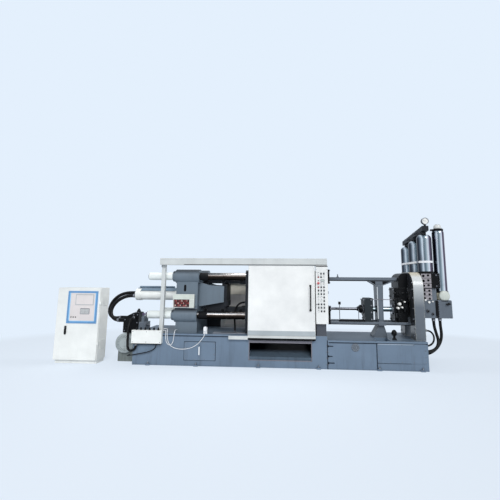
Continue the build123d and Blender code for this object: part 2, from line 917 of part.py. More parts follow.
# Sloping header block over the accumulators on round pads, with a gauge post
with BuildPart() as accumulator_header:
    header_start = accumulator_ys[0] - header_overhang
    header_end = accumulator_ys[-1] + header_overhang
    with BuildSketch(across(accumulator_x - header_half)) as header_side:
        with BuildLine():
            Polyline(
                (header_start, header_under(header_start)),
                (header_end, header_under(header_end)),
                (header_end, header_under(header_end) + header_thickness),
                (header_start, header_under(header_start) + header_thickness),
                close=True,
            )
        make_face()
    extrude(header_side.sketch, amount=2 * header_half)
    for y in accumulator_ys:
        pad_low = header_under(y) - header_pad
        round_bar(level(pad_low), accumulator_x, y, header_pad_radius, header_pad + header_thickness / 2)
    gauge_x = accumulator_x + 20
    gauge_y = accumulator_ys[0] - 60
    gauge_foot = header_under(gauge_y) + header_thickness / 2
    gauge_height = header_under(gauge_y) + header_thickness + gauge_rise
    round_bar(level(gauge_foot), gauge_x, gauge_y, gauge_post_radius, gauge_height - gauge_foot)
    round_bar(facing(gauge_y + gauge_depth / 2), gauge_x, gauge_height, gauge_radius, gauge_depth)
write(accumulator_header.part, "accumulator_header")

# Strap round the accumulator bank
with BuildPart() as accumulator_strap:
    bank_length = accumulator_ys[-1] - accumulator_ys[0]
    with BuildSketch(level(strap_low)):
        with Locations((accumulator_x, (accumulator_ys[0] + accumulator_ys[-1]) / 2)):
            inner_width = 2 * (accumulator_radius + running_gap)
            SlotCenterToCenter(bank_length, inner_width + 2 * strap_thickness, rotation=90)
            SlotCenterToCenter(bank_length, inner_width, rotation=90, mode=Mode.SUBTRACT)
    extrude(amount=strap_height)
write(accumulator_strap.part, "accumulator_strap")

# Valve block and manifold hung at the end of the shot cylinder
with BuildPart() as end_valve_block:
    plate(across(shot_body_right), end_block_front, head_half, end_block_low, end_block_high,
          end_block_right - shot_body_right)
write(end_valve_block.part, "end_valve_block")

with BuildPart() as end_manifold:
    plate(across(end_block_right), manifold_front, manifold_back, end_block_low, manifold_high,
          manifold_right - end_block_right)
    chamfer(end_manifold.edges().filter_by(Axis.Y).group_by(Axis.X)[-1], 12)
write(end_manifold.part, "end_manifold")

with BuildPart() as manifold_disc:
    round_bar(level(manifold_high), side_accumulator_x, side_accumulator_y, side_accumulator_radius + 15,
              side_accumulator_low - manifold_high)
    chamfer(manifold_disc.edges().filter_by(GeomType.CIRCLE), 15)
write(manifold_disc.part, "manifold_disc")

with BuildPart() as side_accumulator:
    bottle(side_accumulator_x, side_accumulator_y, side_accumulator_radius, side_accumulator_low,
           side_accumulator_top, 80, side_accumulator_top + 110, 45)
write(side_accumulator.part, "side_accumulator")

# Pump motor on a curved cradle, with the pump block over it
with BuildPart() as pump_motor:
    round_bar(facing(motor_back), motor_x, motor_height, motor_radius - 12, motor_back - motor_front)
    round_bar(facing(motor_front + 60), motor_x, motor_height, motor_radius, 60)
    round_bar(facing(motor_back), motor_x, motor_height, motor_radius, 50)
write(pump_motor.part, "pump_motor")

with BuildPart() as motor_cradle:
    with BuildSketch(facing(motor_back - 60)) as cradle:
        span(cradle_left, cradle_right, 0, motor_height - 60)
        with Locations((motor_x, motor_height)):
            Circle(motor_radius + running_gap - 12, mode=Mode.SUBTRACT)
    extrude(cradle.sketch, amount=motor_back - 60 - motor_front - 70)
    plate(facing(motor_back - 60), cradle_right, bed_left, 60, 200, motor_back - 60 - motor_front - 70)
write(motor_cradle.part, "motor_cradle")

with BuildPart() as pump_block:
    with BuildSketch(facing(pump_block_back)) as block:
        with BuildLine():
            Polyline(
                (pump_block_left, pump_block_low),
                (pump_block_left, pump_block_high),
                (pump_block_ridge_x, pump_block_ridge),
                (pump_block_right, pump_block_ridge),
                (pump_block_right, pump_block_low),
                close=True,
            )
        make_face()
        with BuildLine():
            Polyline(
                (pump_block_left + eye_inset, eye_low),
                (pump_block_left + eye_inset + eye_length, eye_low),
                (pump_block_left + eye_inset + eye_length, eye_low + eye_length),
                close=True,
            )
        make_face(mode=Mode.SUBTRACT)
    extrude(block.sketch, amount=pump_block_back - pump_block_front)
    plate(facing(pump_block_back), motor_x - 60, motor_x + 60, motor_height + motor_radius - 30, pump_block_low + 10,
          pump_block_back - pump_block_front)
    round_bar(facing(pump_block_back), motor_x, motor_height, motor_radius - 12, pump_block_back - pump_block_front,
              Mode.SUBTRACT)
    for port_y, port_z in hose_port_places:
        round_bar(across(pump_block_left - hose_port_reach), port_y, port_z, hose_port_radius, hose_port_reach)
write(pump_block.part, "pump_block")

# Terminal box on the bed's front at the clamp end, with a row of cable glands
with BuildPart() as terminal_box:
    plate(facing(terminal_back), terminal_left, terminal_right, terminal_low, terminal_high,
          terminal_back - terminal_front)
    with BuildSketch(level(terminal_high)) as glands:
        with GridLocations(95, 60, 6, 1):
            with Locations(((terminal_left + terminal_right) / 2, (terminal_front + terminal_back) / 2)):
                Circle(17)
    extrude(glands.sketch, amount=45)
write(terminal_box.part, "terminal_box")

# Junction box on the tail platen, open at its lower front
with BuildPart() as junction_box:
    junction_front = -tie_side - tail_block_side - junction_depth
    plate(facing(-tie_side - tail_block_side), junction_left, junction_right, junction_low, junction_high,
          junction_depth)
    plate(facing(junction_front), junction_left + junction_wall, junction_window_right, junction_low,
          junction_window_high, junction_wall - junction_depth, Mode.SUBTRACT)
write(junction_box.part, "junction_box")

# Limit switch on its bracket beside the tail platen's pedestal
with BuildPart() as limit_switch:
    plate(level(clamp_bed_height), switch_x - 40, switch_x + 40, switch_back, switch_back + 12,
          switch_high - 20 - clamp_bed_height)
    plate(level(clamp_bed_height), switch_x - 40, switch_x + 40, switch_back, switch_back + 50, 8)
    with BuildSketch(facing(switch_front)) as switch_face:
        span(switch_x - switch_half, switch_x + switch_half, switch_low, switch_high - switch_half)
        with Locations((switch_x, switch_high - switch_half)):
            Circle(switch_half)
    extrude(switch_face.sketch, amount=switch_front - switch_back)
write(limit_switch.part, "limit_switch")

# Clamp valve block on the bed behind the terminal box
with BuildPart() as clamp_valve_block:
    valve_top = clamp_bed_height + valve_height
    plate(level(clamp_bed_height), valve_left, valve_right, valve_front, valve_back, valve_height)
    for valve_y in (valve_front + 50, valve_back - 50):
        round_bar(level(valve_top), (valve_left + valve_right) / 2, valve_y, 42, 110)
        round_bar(level(valve_top + 110), (valve_left + valve_right) / 2, valve_y, 26, 40)
write(clamp_valve_block.part, "clamp_valve_block")

# Control cabinet: case on a plinth, hinged door with a screen and a handle
cabinet_door_back = cabinet_front - 5
cabinet_door_front = cabinet_door_back - cabinet_door_thickness
cabinet_hinge_x = cabinet_right + hinge_out
cabinet_hinge_y = (cabinet_door_back + cabinet_door_front) / 2
with BuildPart() as cabinet_case:
    plate(level(0), cabinet_left + 15, cabinet_right - 15, cabinet_front + 30, cabinet_back - 15, cabinet_plinth)
    plate(level(cabinet_plinth), cabinet_left, cabinet_right, cabinet_front, cabinet_back,
          cabinet_height - cabinet_plinth)
    plate(facing(cabinet_front), cabinet_left + cabinet_sheet, cabinet_right - cabinet_sheet,
          cabinet_plinth + cabinet_sheet, cabinet_height - cabinet_sheet,
          cabinet_sheet + cabinet_front - cabinet_back, Mode.SUBTRACT)
    for height in hinge_heights:
        for low_z in (height - running_gap - ear, height + knuckle + running_gap):
            plate(level(low_z), cabinet_right, cabinet_hinge_x + hinge_radius, cabinet_hinge_y - hinge_radius,
                  cabinet_front + 40, ear)
        round_bar(level(height - running_gap), cabinet_hinge_x, cabinet_hinge_y, hinge_pin_radius,
                  knuckle + 2 * running_gap)
write(cabinet_case.part, "cabinet_case")

with BuildPart() as cabinet_door:
    plate(facing(cabinet_door_back), cabinet_left, cabinet_right - cabinet_door_gap, cabinet_plinth + 8,
          cabinet_height - 8, cabinet_door_thickness)
    fillet(cabinet_door.edges().filter_by(Axis.Z).group_by(Axis.Y)[0], 6)
    for height in hinge_heights:
        plate(level(height), cabinet_right - cabinet_door_gap - 1, cabinet_hinge_x, cabinet_hinge_y - 3,
              cabinet_hinge_y + 3, knuckle)
        round_bar(level(height), cabinet_hinge_x, cabinet_hinge_y, hinge_radius, knuckle)
        round_bar(level(height), cabinet_hinge_x, cabinet_hinge_y, hinge_pin_radius + hinge_fit, knuckle,
                  Mode.SUBTRACT)
write(cabinet_door.part, "cabinet_door")

with BuildPart() as cabinet_screen:
    plate(facing(cabinet_door_front), screen_left, screen_right, screen_low, screen_high, screen_depth)
    plate(facing(cabinet_door_front - screen_depth), screen_left + screen_border, screen_right - screen_border,
          screen_low + screen_border, screen_high - screen_border, -screen_recess, Mode.SUBTRACT)
write(cabinet_screen.part, "cabinet_screen")

with BuildPart() as cabinet_handle:
    with BuildSketch(facing(cabinet_door_front)):
        with Locations((latch_x, latch_height)):
            SlotOverall(latch_length, latch_width, rotation=90)
    extrude(amount=latch_depth)
write(cabinet_handle.part, "cabinet_handle")


# Cord: a tube of straight runs and tangent arcs through the points of its route
def corner_radii(route):
    points = [Vector(*p) for p in route]
    radii = []
    for before, corner, after in zip(points, points[1:], points[2:]):
        turn = (corner - before).get_angle(after - corner)
        shorter = min((corner - before).length, (after - corner).length)
        radii.append(0.45 * shorter / tan(turn * pi / 360))
    return radii


def cord(name, route, diameter):
    radii = corner_radii(route)
    with BuildPart() as tube:
        with BuildLine() as middle:
            FilletPolyline(*route, radius=radii)
        with BuildSketch(Plane(middle.line @ 0, z_dir=middle.line % 0)):
            Circle(diameter / 2)
        sweep(path=middle.line)
    length = middle.wires()[0].length
    expected = pi * diameter ** 2 / 4 * length
    print(name, "length", round(length), "smallest radius", round(min(radii)), "of diameter", diameter,
          "volume ratio", round(tube.part.volume / expected, 4))
    write(tube.part, name)


# Two hoses from the clamp cylinder's end round to the pump block's ports
hose_port_x = pump_block_left - hose_port_reach
main_hose_route = [
    (clamp_cylinder_left, 50, 1470),
    (-3420, 50, 1470),
    (-3580, 42, 1466),
    (-3740, 20, 1412),
    (-3862, -10, 1300),
    (-3920, -45, 1160),
    (-3918, -75, 1020),
    (-3850, -95, 925),
    (-3750, -102, 892),
    (-3660, *hose_port_places[0]),
    (hose_port_x, *hose_port_places[0]),
]
cord("main_hose", main_hose_route, 76)
main_hose_2_route = [
    (clamp_cylinder_left, -50, 1405),
    (-3400, -50, 1405),
    (-3530, -60, 1392),
    (-3665, -85, 1335),
    (-3775, -115, 1235),
    (-3832, -150, 1110),
    (-3820, -180, 985),
    (-3750, -195, 900),
    (-3660, *hose_port_places[1]),
    (hose_port_x, *hose_port_places[1]),
]
cord("main_hose_2", main_hose_2_route, 76)

# Pump hose that hangs in front of the motor and rises into the terminal box's underside
down_hose_route = [
    (-3210, pump_block_front, 930),
    (-3210, -390, 930),
    (-3212, -480, 880),
    (-3214, -530, 760),
    (-3212, -548, 610),
    (-3204, -565, 460),
    (-3178, -600, 335),
    (-3110, -640, 280),
    (-3020, -662, 300),
    (-2966, -666, 370),
    (-2966, -666, terminal_low),
]
cord("down_hose", down_hose_route, 50)

# Hose from the back of the moving platen down to the bed
platen_hose_route = [
    (moving_left, -290, 1300),
    (-740, -290, 1300),
    (-830, -288, 1270),
    (-895, -286, 1190),
    (-925, -284, 1080),
    (-930, -284, 960),
    (-920, -284, 840),
    (-915, -285, 740),
    (-915, -285, clamp_bed_height),
]
cord("platen_hose", platen_hose_route, 40)

# Two pressure hoses from the end manifolds into the bed's right end
end_hose_1_route = [
    (3370, -240, end_block_low),
    (3370, -240, 860),
    (3400, -260, 700),
    (3428, -290, 560),
    (3390, -330, 440),
    (3300, -365, 370),
    (3190, -380, 340),
    (bed_right, -380, 340),
]
cord("end_hose_1", end_hose_1_route, 60)
end_hose_2_route = [
    (3520, -200, end_block_low),
    (3520, -200, 850),
    (3536, -205, 690),
    (3510, -215, 540),
    (3430, -230, 410),
    (3320, -245, 320),
    (3200, -258, 270),
    (bed_right, -258, 270),
]
cord("end_hose_2", end_hose_2_route, 60)

# Drain hose from the end frame's foot over the bed's end
drain_hose_route = [
    (end_frame_right, -440, 775),
    (3165, -440, 775),
    (3228, -440, 748),
    (3272, -440, 686),
    (3282, -440, 606),
    (3254, -440, 530),
    (3194, -440, 480),
    (3137, -440, 466),
    (bed_right, -440, 466),
]
cord("drain_hose", drain_hose_route, 36)

# White signal cables that loop over the bed's front edge
post_right = post_left + post_size
white_cable_1_route = [
    (post_right, -565, 705),
    (-2385, -565, 705),
    (-2352, -600, 700),
    (-2344, -632, 668),
    (-2342, -638, 610),
    (-2336, -636, 520),
    (-2310, -634, 450),
    (-2262, -633, 412),
    (-2208, -633, 425),
    (-2178, -634, 482),
    (-2166, -636, 560),
    (-2162, -634, 630),
    (-2158, -620, 690),
    (-2154, -580, 722),
    (-2152, -530, 714),
    (-2152, -480, 714),
]
cord("white_cable_1", white_cable_1_route, 12)
white_cable_2_route = [
    (post_right, -545, 738),
    (-2370, -545, 738),
    (-2330, -578, 738),
    (-2314, -620, 724),
    (-2310, -638, 682),
    (-2306, -642, 600),
    (-2290, -646, 510),
    (-2250, -649, 430),
    (-2175, -651, 372),
    (-2050, -648, 340),
    (-1900, -645, 340),
    (-1750, -645, 378),
    (-1635, -642, 452),
    (-1562, -637, 540),
    (-1516, -630, 604),
    (switch_x, -627, 660),
    (switch_x, -627, switch_low),
]
cord("white_cable_2", white_cable_2_route, 12)

# Black cable from the terminal box down to the motor
black_cable_route = [
    (-2530, -660, terminal_low),
    (-2530, -660, 390),
    (-2580, -666, 320),
    (-2700, -668, 272),
    (-2850, -664, 240),
    (-2990, -652, 212),
    (-3100, -628, 188),
    (-3185, -575, 166),
    (-3222, -500, 154),
    (-3230, -425, 150),
    (-3230, -360, 150),
]
cord("black_cable", black_cable_route, 20)
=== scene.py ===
import math

import bmesh
import bpy
from mathutils import Matrix, Vector


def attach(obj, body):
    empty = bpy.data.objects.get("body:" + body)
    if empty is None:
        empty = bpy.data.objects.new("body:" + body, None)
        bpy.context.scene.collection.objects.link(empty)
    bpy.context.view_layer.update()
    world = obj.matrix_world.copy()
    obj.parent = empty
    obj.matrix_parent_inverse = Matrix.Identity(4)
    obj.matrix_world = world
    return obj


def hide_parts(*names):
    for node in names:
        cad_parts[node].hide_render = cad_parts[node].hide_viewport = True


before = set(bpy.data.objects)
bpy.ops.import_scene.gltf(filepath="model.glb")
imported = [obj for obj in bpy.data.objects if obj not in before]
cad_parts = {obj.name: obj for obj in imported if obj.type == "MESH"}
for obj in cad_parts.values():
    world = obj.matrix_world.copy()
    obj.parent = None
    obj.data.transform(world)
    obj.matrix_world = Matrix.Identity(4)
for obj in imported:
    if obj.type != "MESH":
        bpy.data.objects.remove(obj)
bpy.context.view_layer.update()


# colours are written as they look on screen, 0 to 255
def srgb(r, g, b):
    def one(v):
        v = v / 255
        return v / 12.92 if v <= 0.04045 else ((v + 0.055) / 1.055) ** 2.4
    return (one(r), one(g), one(b), 1.0)


backdropTone = srgb(228, 240, 253)

camera = {
    "place": (0.302, -7.899, 1.808),
    "yaw": 3.88,       # degrees to the left of straight on
    "pitch": 8.25,     # degrees up
    "roll": -0.41,
    "focalPixels": 337.3,
    "centre": (267.3, 230.4),   # where the lens axis meets the picture
    "picture": 500,
    "sensor": 36,
    "reach": 400,
}


def makeCamera(c):
    yaw, pitch, roll = (math.radians(c[k]) for k in ("yaw", "pitch", "roll"))
    forward = Vector((-math.sin(yaw) * math.cos(pitch), math.cos(yaw) * math.cos(pitch), math.sin(pitch)))
    right = Vector((math.cos(yaw), math.sin(yaw), 0))
    up = right.cross(forward)
    axisX = right * math.cos(roll) - up * math.sin(roll)
    axisY = right * math.sin(roll) + up * math.cos(roll)
    data = bpy.data.cameras.new("camera")
    data.sensor_width = c["sensor"]
    data.lens = c["sensor"] * c["focalPixels"] / c["picture"]
    half = c["picture"] / 2
    data.shift_x = (half - c["centre"][0]) / c["picture"]
    data.shift_y = (c["centre"][1] - half) / c["picture"]
    data.clip_end = c["reach"]
    obj = bpy.data.objects.new("camera", data)
    bpy.context.collection.objects.link(obj)
    turn = Matrix((axisX, axisY, -forward)).transposed()
    obj.matrix_world = Matrix.Translation(c["place"]) @ turn.to_4x4()
    bpy.context.scene.camera = obj


makeCamera(camera)
print("camera set")

# shader node groups shared by the materials


def newGroup(name, inputs, outputs):
    group = bpy.data.node_groups.new(name, "ShaderNodeTree")
    for label, kind, value in inputs:
        socket = group.interface.new_socket(name=label, in_out="INPUT", socket_type=kind)
        socket.default_value = value
    for label, kind in outputs:
        group.interface.new_socket(name=label, in_out="OUTPUT", socket_type=kind)
    return group, group.nodes.new("NodeGroupInput"), group.nodes.new("NodeGroupOutput")


def node(tree, kind, **values):
    made = tree.nodes.new(kind)
    for key, value in values.items():
        if hasattr(made, key):
            setattr(made, key, value)
        else:
            made.inputs[key.replace("_", " ")].default_value = value
    return made


def maths(tree, operation, a, b, clamp=False):
    made = tree.nodes.new("ShaderNodeMath")
    made.operation = operation
    made.use_clamp = clamp
    for place, value in enumerate((a, b)):
        if isinstance(value, (int, float)):
            made.inputs[place].default_value = value
        else:
            tree.links.new(value, made.inputs[place])
    return made.outputs[0]


def mixColours(tree, factor, a, b, blend="MIX"):
    made = tree.nodes.new("ShaderNodeMix")
    made.data_type = "RGBA"
    made.blend_type = blend
    for socket, value in ((made.inputs["Factor"], factor), (made.inputs[6], a), (made.inputs[7], b)):
        if isinstance(value, (int, float, tuple)):
            socket.default_value = value
        else:
            tree.links.new(value, socket)
    return made.outputs[2]


def ramp(tree, value, low, high):
    made = tree.nodes.new("ShaderNodeMapRange")
    made.inputs["From Min"].default_value = low
    made.inputs["From Max"].default_value = high
    tree.links.new(value, made.inputs["Value"])
    return made.outputs[0]


# pale edges broken by chips: real wear on most paints; on castPaint, framePaint and endPaint, whose edges are wide, a
# painted highlight
def makeEdgeWearAndHighlight():
    group, enter, leave = newGroup(
        "edge wear and highlight", [("Width", "NodeSocketFloat", 0.004), ("Amount", "NodeSocketFloat", 0.6)],
        [("Mask", "NodeSocketFloat")])
    bevel = node(group, "ShaderNodeBevel", samples=4)
    group.links.new(enter.outputs["Width"], bevel.inputs["Radius"])
    geometry = group.nodes.new("ShaderNodeNewGeometry")
    dot = node(group, "ShaderNodeVectorMath", operation="DOT_PRODUCT")
    group.links.new(bevel.outputs["Normal"], dot.inputs[0])
    group.links.new(geometry.outputs["Normal"], dot.inputs[1])
    edge = ramp(group, dot.outputs["Value"], 0.99, 0.86)
    coords = group.nodes.new("ShaderNodeTexCoord")
    chips = node(group, "ShaderNodeTexNoise", Scale=55.0, Detail=4.0, Roughness=0.7)
    group.links.new(coords.outputs["Object"], chips.inputs["Vector"])
    broken = ramp(group, chips.outputs["Fac"], 0.42, 0.6)
    wearAndHighlight = maths(group, "MULTIPLY", edge, broken)
    group.links.new(maths(group, "MULTIPLY", wearAndHighlight, enter.outputs["Amount"], True), leave.inputs["Mask"])
    return group


def makePaintSkin():
    group, enter, leave = newGroup(
        "paint skin",
        [("Paint", "NodeSocketColor", (0.5, 0.5, 0.5, 1)), ("Grime", "NodeSocketColor", (0.1, 0.1, 0.1, 1)),
         ("Grime Amount", "NodeSocketFloat", 0.3), ("Patch Scale", "NodeSocketFloat", 1.4),
         ("Peel Scale", "NodeSocketFloat", 160.0), ("Roughness Base", "NodeSocketFloat", 0.4),
         ("Top Grime", "NodeSocketFloat", 0.0)],
        [("Color", "NodeSocketColor"), ("Roughness", "NodeSocketFloat"), ("Height", "NodeSocketFloat")])
    coords = group.nodes.new("ShaderNodeTexCoord")
    patches = node(group, "ShaderNodeTexNoise", Detail=5.0, Roughness=0.6)
    group.links.new(coords.outputs["Object"], patches.inputs["Vector"])
    group.links.new(enter.outputs["Patch Scale"], patches.inputs["Scale"])
    stretch = node(group, "ShaderNodeMapping")
    stretch.inputs["Scale"].default_value = (9, 9, 0.8)
    group.links.new(coords.outputs["Object"], stretch.inputs["Vector"])
    streaks = node(group, "ShaderNodeTexNoise", Scale=1.0, Detail=6.0, Roughness=0.65)
    group.links.new(stretch.outputs["Vector"], streaks.inputs["Vector"])
    split = group.nodes.new("ShaderNodeSeparateXYZ")
    group.links.new(coords.outputs["Object"], split.inputs[0])
    nearFloor = ramp(group, split.outputs["Z"], 0.45, 0.0)
    runs = ramp(group, streaks.outputs["Fac"], 0.5, 0.72)
    dirt = maths(group, "MULTIPLY", maths(group, "ADD", maths(group, "MULTIPLY", nearFloor, 0.55), 0.3), runs)
    dirt = maths(group, "MULTIPLY", dirt, enter.outputs["Grime Amount"], True)
    # oil and dust lie on what faces up
    geometry = group.nodes.new("ShaderNodeNewGeometry")
    facingUp = group.nodes.new("ShaderNodeSeparateXYZ")
    group.links.new(geometry.outputs["Normal"], facingUp.inputs[0])
    lying = maths(group, "MULTIPLY", ramp(group, facingUp.outputs["Z"], 0.35, 0.8), enter.outputs["Top Grime"])
    dirt = maths(group, "MAXIMUM", dirt, lying, True)
    lighter = mixColours(group, 1.0, enter.outputs["Paint"], (1.12, 1.12, 1.12, 1), "MULTIPLY")
    darker = mixColours(group, 1.0, enter.outputs["Paint"], (0.9, 0.905, 0.91, 1), "MULTIPLY")
    base = mixColours(group, ramp(group, patches.outputs["Fac"], 0.3, 0.7), darker, lighter)
    group.links.new(mixColours(group, dirt, base, enter.outputs["Grime"]), leave.inputs["Color"])
    peel = node(group, "ShaderNodeTexNoise", Detail=2.0)
    group.links.new(coords.outputs["Object"], peel.inputs["Vector"])
    group.links.new(enter.outputs["Peel Scale"], peel.inputs["Scale"])
    group.links.new(peel.outputs["Fac"], leave.inputs["Height"])
    shift = maths(group, "MULTIPLY", maths(group, "SUBTRACT", patches.outputs["Fac"], 0.5), 0.3)
    rough = maths(group, "ADD", maths(group, "ADD", enter.outputs["Roughness Base"], shift),
                  maths(group, "MULTIPLY", dirt, 0.3))
    group.links.new(maths(group, "MAXIMUM", rough, 0.08, True), leave.inputs["Roughness"])
    return group


def makeMetalSkin():
    group, enter, leave = newGroup(
        "metal skin",
        [("Metal", "NodeSocketColor", (0.6, 0.6, 0.6, 1)), ("Stain", "NodeSocketColor", (0.1, 0.08, 0.06, 1)),
         ("Stain Amount", "NodeSocketFloat", 0.2), ("Line Scale", "NodeSocketVector", (400, 4, 4)),
         ("Roughness Base", "NodeSocketFloat", 0.25), ("Line Depth", "NodeSocketFloat", 0.12)],
        [("Color", "NodeSocketColor"), ("Roughness", "NodeSocketFloat"), ("Height", "NodeSocketFloat")])
    coords = group.nodes.new("ShaderNodeTexCoord")
    stretch = node(group, "ShaderNodeMapping")
    group.links.new(enter.outputs["Line Scale"], stretch.inputs["Scale"])
    group.links.new(coords.outputs["Object"], stretch.inputs["Vector"])
    lines = node(group, "ShaderNodeTexNoise", Scale=1.0, Detail=4.0, Roughness=0.7)
    group.links.new(stretch.outputs["Vector"], lines.inputs["Vector"])
    blots = node(group, "ShaderNodeTexNoise", Scale=5.0, Detail=5.0, Roughness=0.65)
    group.links.new(coords.outputs["Object"], blots.inputs["Vector"])
    stain = ramp(group, blots.outputs["Fac"], 0.5, 0.75)
    stain = maths(group, "MULTIPLY", stain, enter.outputs["Stain Amount"], True)
    dark = mixColours(group, enter.outputs["Line Depth"], enter.outputs["Metal"], (0.004, 0.004, 0.006, 1))
    dim = mixColours(group, ramp(group, lines.outputs["Fac"], 0.42, 0.6), enter.outputs["Metal"], dark)
    group.links.new(mixColours(group, stain, dim, enter.outputs["Stain"]), leave.inputs["Color"])
    group.links.new(lines.outputs["Fac"], leave.inputs["Height"])
    shift = maths(group, "MULTIPLY", maths(group, "SUBTRACT", lines.outputs["Fac"], 0.5), 0.2)
    rough = maths(group, "ADD", maths(group, "ADD", enter.outputs["Roughness Base"], shift),
                  maths(group, "MULTIPLY", stain, 0.35))
    group.links.new(maths(group, "MAXIMUM", rough, 0.05, True), leave.inputs["Roughness"])
    return group


edgeWearAndHighlight = makeEdgeWearAndHighlight()
paintSkin = makePaintSkin()
metalSkin = makeMetalSkin()


def startMaterial(name):
    material = bpy.data.materials.new(name)
    material.use_nodes = True
    tree = material.node_tree
    return material, tree, tree.nodes["Principled BSDF"]


def addGroup(tree, group, values):
    made = tree.nodes.new("ShaderNodeGroup")
    made.node_tree = group
    for key, value in values.items():
        made.inputs[key].default_value = value
    return made


def addBump(tree, shader, height, strength, distance):
    bump = tree.nodes.new("ShaderNodeBump")
    bump.inputs["Strength"].default_value = strength
    bump.inputs["Distance"].default_value = distance
    tree.links.new(height, bump.inputs["Height"])
    tree.links.new(bump.outputs["Normal"], shader.inputs["Normal"])


# painted light and shade: each entry is (what it goes by, where it starts, where it is full, colour), lightening or
# darkening faces by which way they face or how high they stand
def addPaintedLight(tree, colour, paintedLight):
    geometry = tree.nodes.new("ShaderNodeNewGeometry")
    normal, place = tree.nodes.new("ShaderNodeSeparateXYZ"), tree.nodes.new("ShaderNodeSeparateXYZ")
    tree.links.new(geometry.outputs["Normal"], normal.inputs[0])
    tree.links.new(geometry.outputs["Position"], place.inputs[0])
    sources = {"side": normal.outputs["X"], "up": normal.outputs["Z"], "height": place.outputs["Z"]}
    for source, start, full, tone in paintedLight:
        colour = mixColours(tree, ramp(tree, sources[source], start, full), colour, srgb(*tone))
    return colour


def paintMaterial(name, paint, grime=(60, 58, 54), dirt=0.3, rough=0.42, peel=160.0, bump=0.08, wearAndHighlight=0.5,
                  wearAndHighlightTone=(150, 152, 150), coat=0.0, patch=1.4, topGrime=0.0, shine=0.5, edge=0.004, paintedLight=()):
    material, tree, shader = startMaterial(name)
    skin = addGroup(tree, paintSkin, {"Paint": srgb(*paint), "Grime": srgb(*grime), "Grime Amount": dirt,
                                      "Roughness Base": rough, "Peel Scale": peel, "Patch Scale": patch,
                                      "Top Grime": topGrime})
    # edge mask: wear, and a painted highlight where the edge is wide
    wear = addGroup(tree, edgeWearAndHighlight, {"Amount": wearAndHighlight, "Width": edge})
    colour = skin.outputs["Color"]
    if paintedLight:
        colour = addPaintedLight(tree, colour, paintedLight)
    colour = mixColours(tree, wear.outputs["Mask"], colour, srgb(*wearAndHighlightTone))
    tree.links.new(colour, shader.inputs["Base Color"])
    tree.links.new(skin.outputs["Roughness"], shader.inputs["Roughness"])
    shader.inputs["Coat Weight"].default_value = coat
    shader.inputs["Coat Roughness"].default_value = 0.15
    shader.inputs["Specular IOR Level"].default_value = shine
    addBump(tree, shader, skin.outputs["Height"], bump, 0.002)
    return material


# painted reflections: reflection bands are (place, tone) along one axis of the normal, as a bright shop mirrors a
# polished bar
def metalMaterial(name, metal, stain, stained, rough, lines, bump=0.05, depth=0.12, reflectionBands=(), reflectionAxis="Z"):
    material, tree, shader = startMaterial(name)
    skin = addGroup(tree, metalSkin, {"Metal": srgb(*metal), "Stain": srgb(*stain), "Stain Amount": stained,
                                      "Roughness Base": rough, "Line Scale": lines, "Line Depth": depth})
    colour = skin.outputs["Color"]
    if reflectionBands:
        geometry = tree.nodes.new("ShaderNodeNewGeometry")
        split = tree.nodes.new("ShaderNodeSeparateXYZ")
        tree.links.new(geometry.outputs["Normal"], split.inputs[0])
        profile = tree.nodes.new("ShaderNodeValToRGB")
        tree.links.new(ramp(tree, split.outputs[reflectionAxis], -1, 1), profile.inputs["Fac"])
        stops = profile.color_ramp.elements
        for stop, (place, tone) in zip(stops, (reflectionBands[0], reflectionBands[-1])):
            stop.position = place
            stop.color = srgb(*tone)
        for place, tone in reflectionBands[1:-1]:
            stops.new(place).color = srgb(*tone)
        colour = mixColours(tree, 1.0, colour, profile.outputs["Color"], "MULTIPLY")
    tree.links.new(colour, shader.inputs["Base Color"])
    tree.links.new(skin.outputs["Roughness"], shader.inputs["Roughness"])
    shader.inputs["Metallic"].default_value = 1.0
    addBump(tree, shader, skin.outputs["Height"], bump, 0.001)
    return material


def rubberMaterial(name, tone, rough, shine=0.15, dust=0.04, grainDepth=0.15):
    material, tree, shader = startMaterial(name)
    coords = tree.nodes.new("ShaderNodeTexCoord")
    grain = node(tree, "ShaderNodeTexNoise", Scale=240.0, Detail=3.0)
    tree.links.new(coords.outputs["Object"], grain.inputs["Vector"])
    dusty = node(tree, "ShaderNodeTexNoise", Scale=9.0, Detail=5.0)
    tree.links.new(coords.outputs["Object"], dusty.inputs["Vector"])
    shader.inputs["Specular IOR Level"].default_value = shine
    colour = mixColours(tree, maths(tree, "MULTIPLY", ramp(tree, dusty.outputs["Fac"], 0.45, 0.75), dust),
                        srgb(*tone), srgb(120, 116, 112))
    tree.links.new(colour, shader.inputs["Base Color"])
    tree.links.new(maths(tree, "ADD", maths(tree, "MULTIPLY", dusty.outputs["Fac"], 0.25), rough - 0.1),
                   shader.inputs["Roughness"])
    addBump(tree, shader, grain.outputs["Fac"], grainDepth, 0.001)
    return material


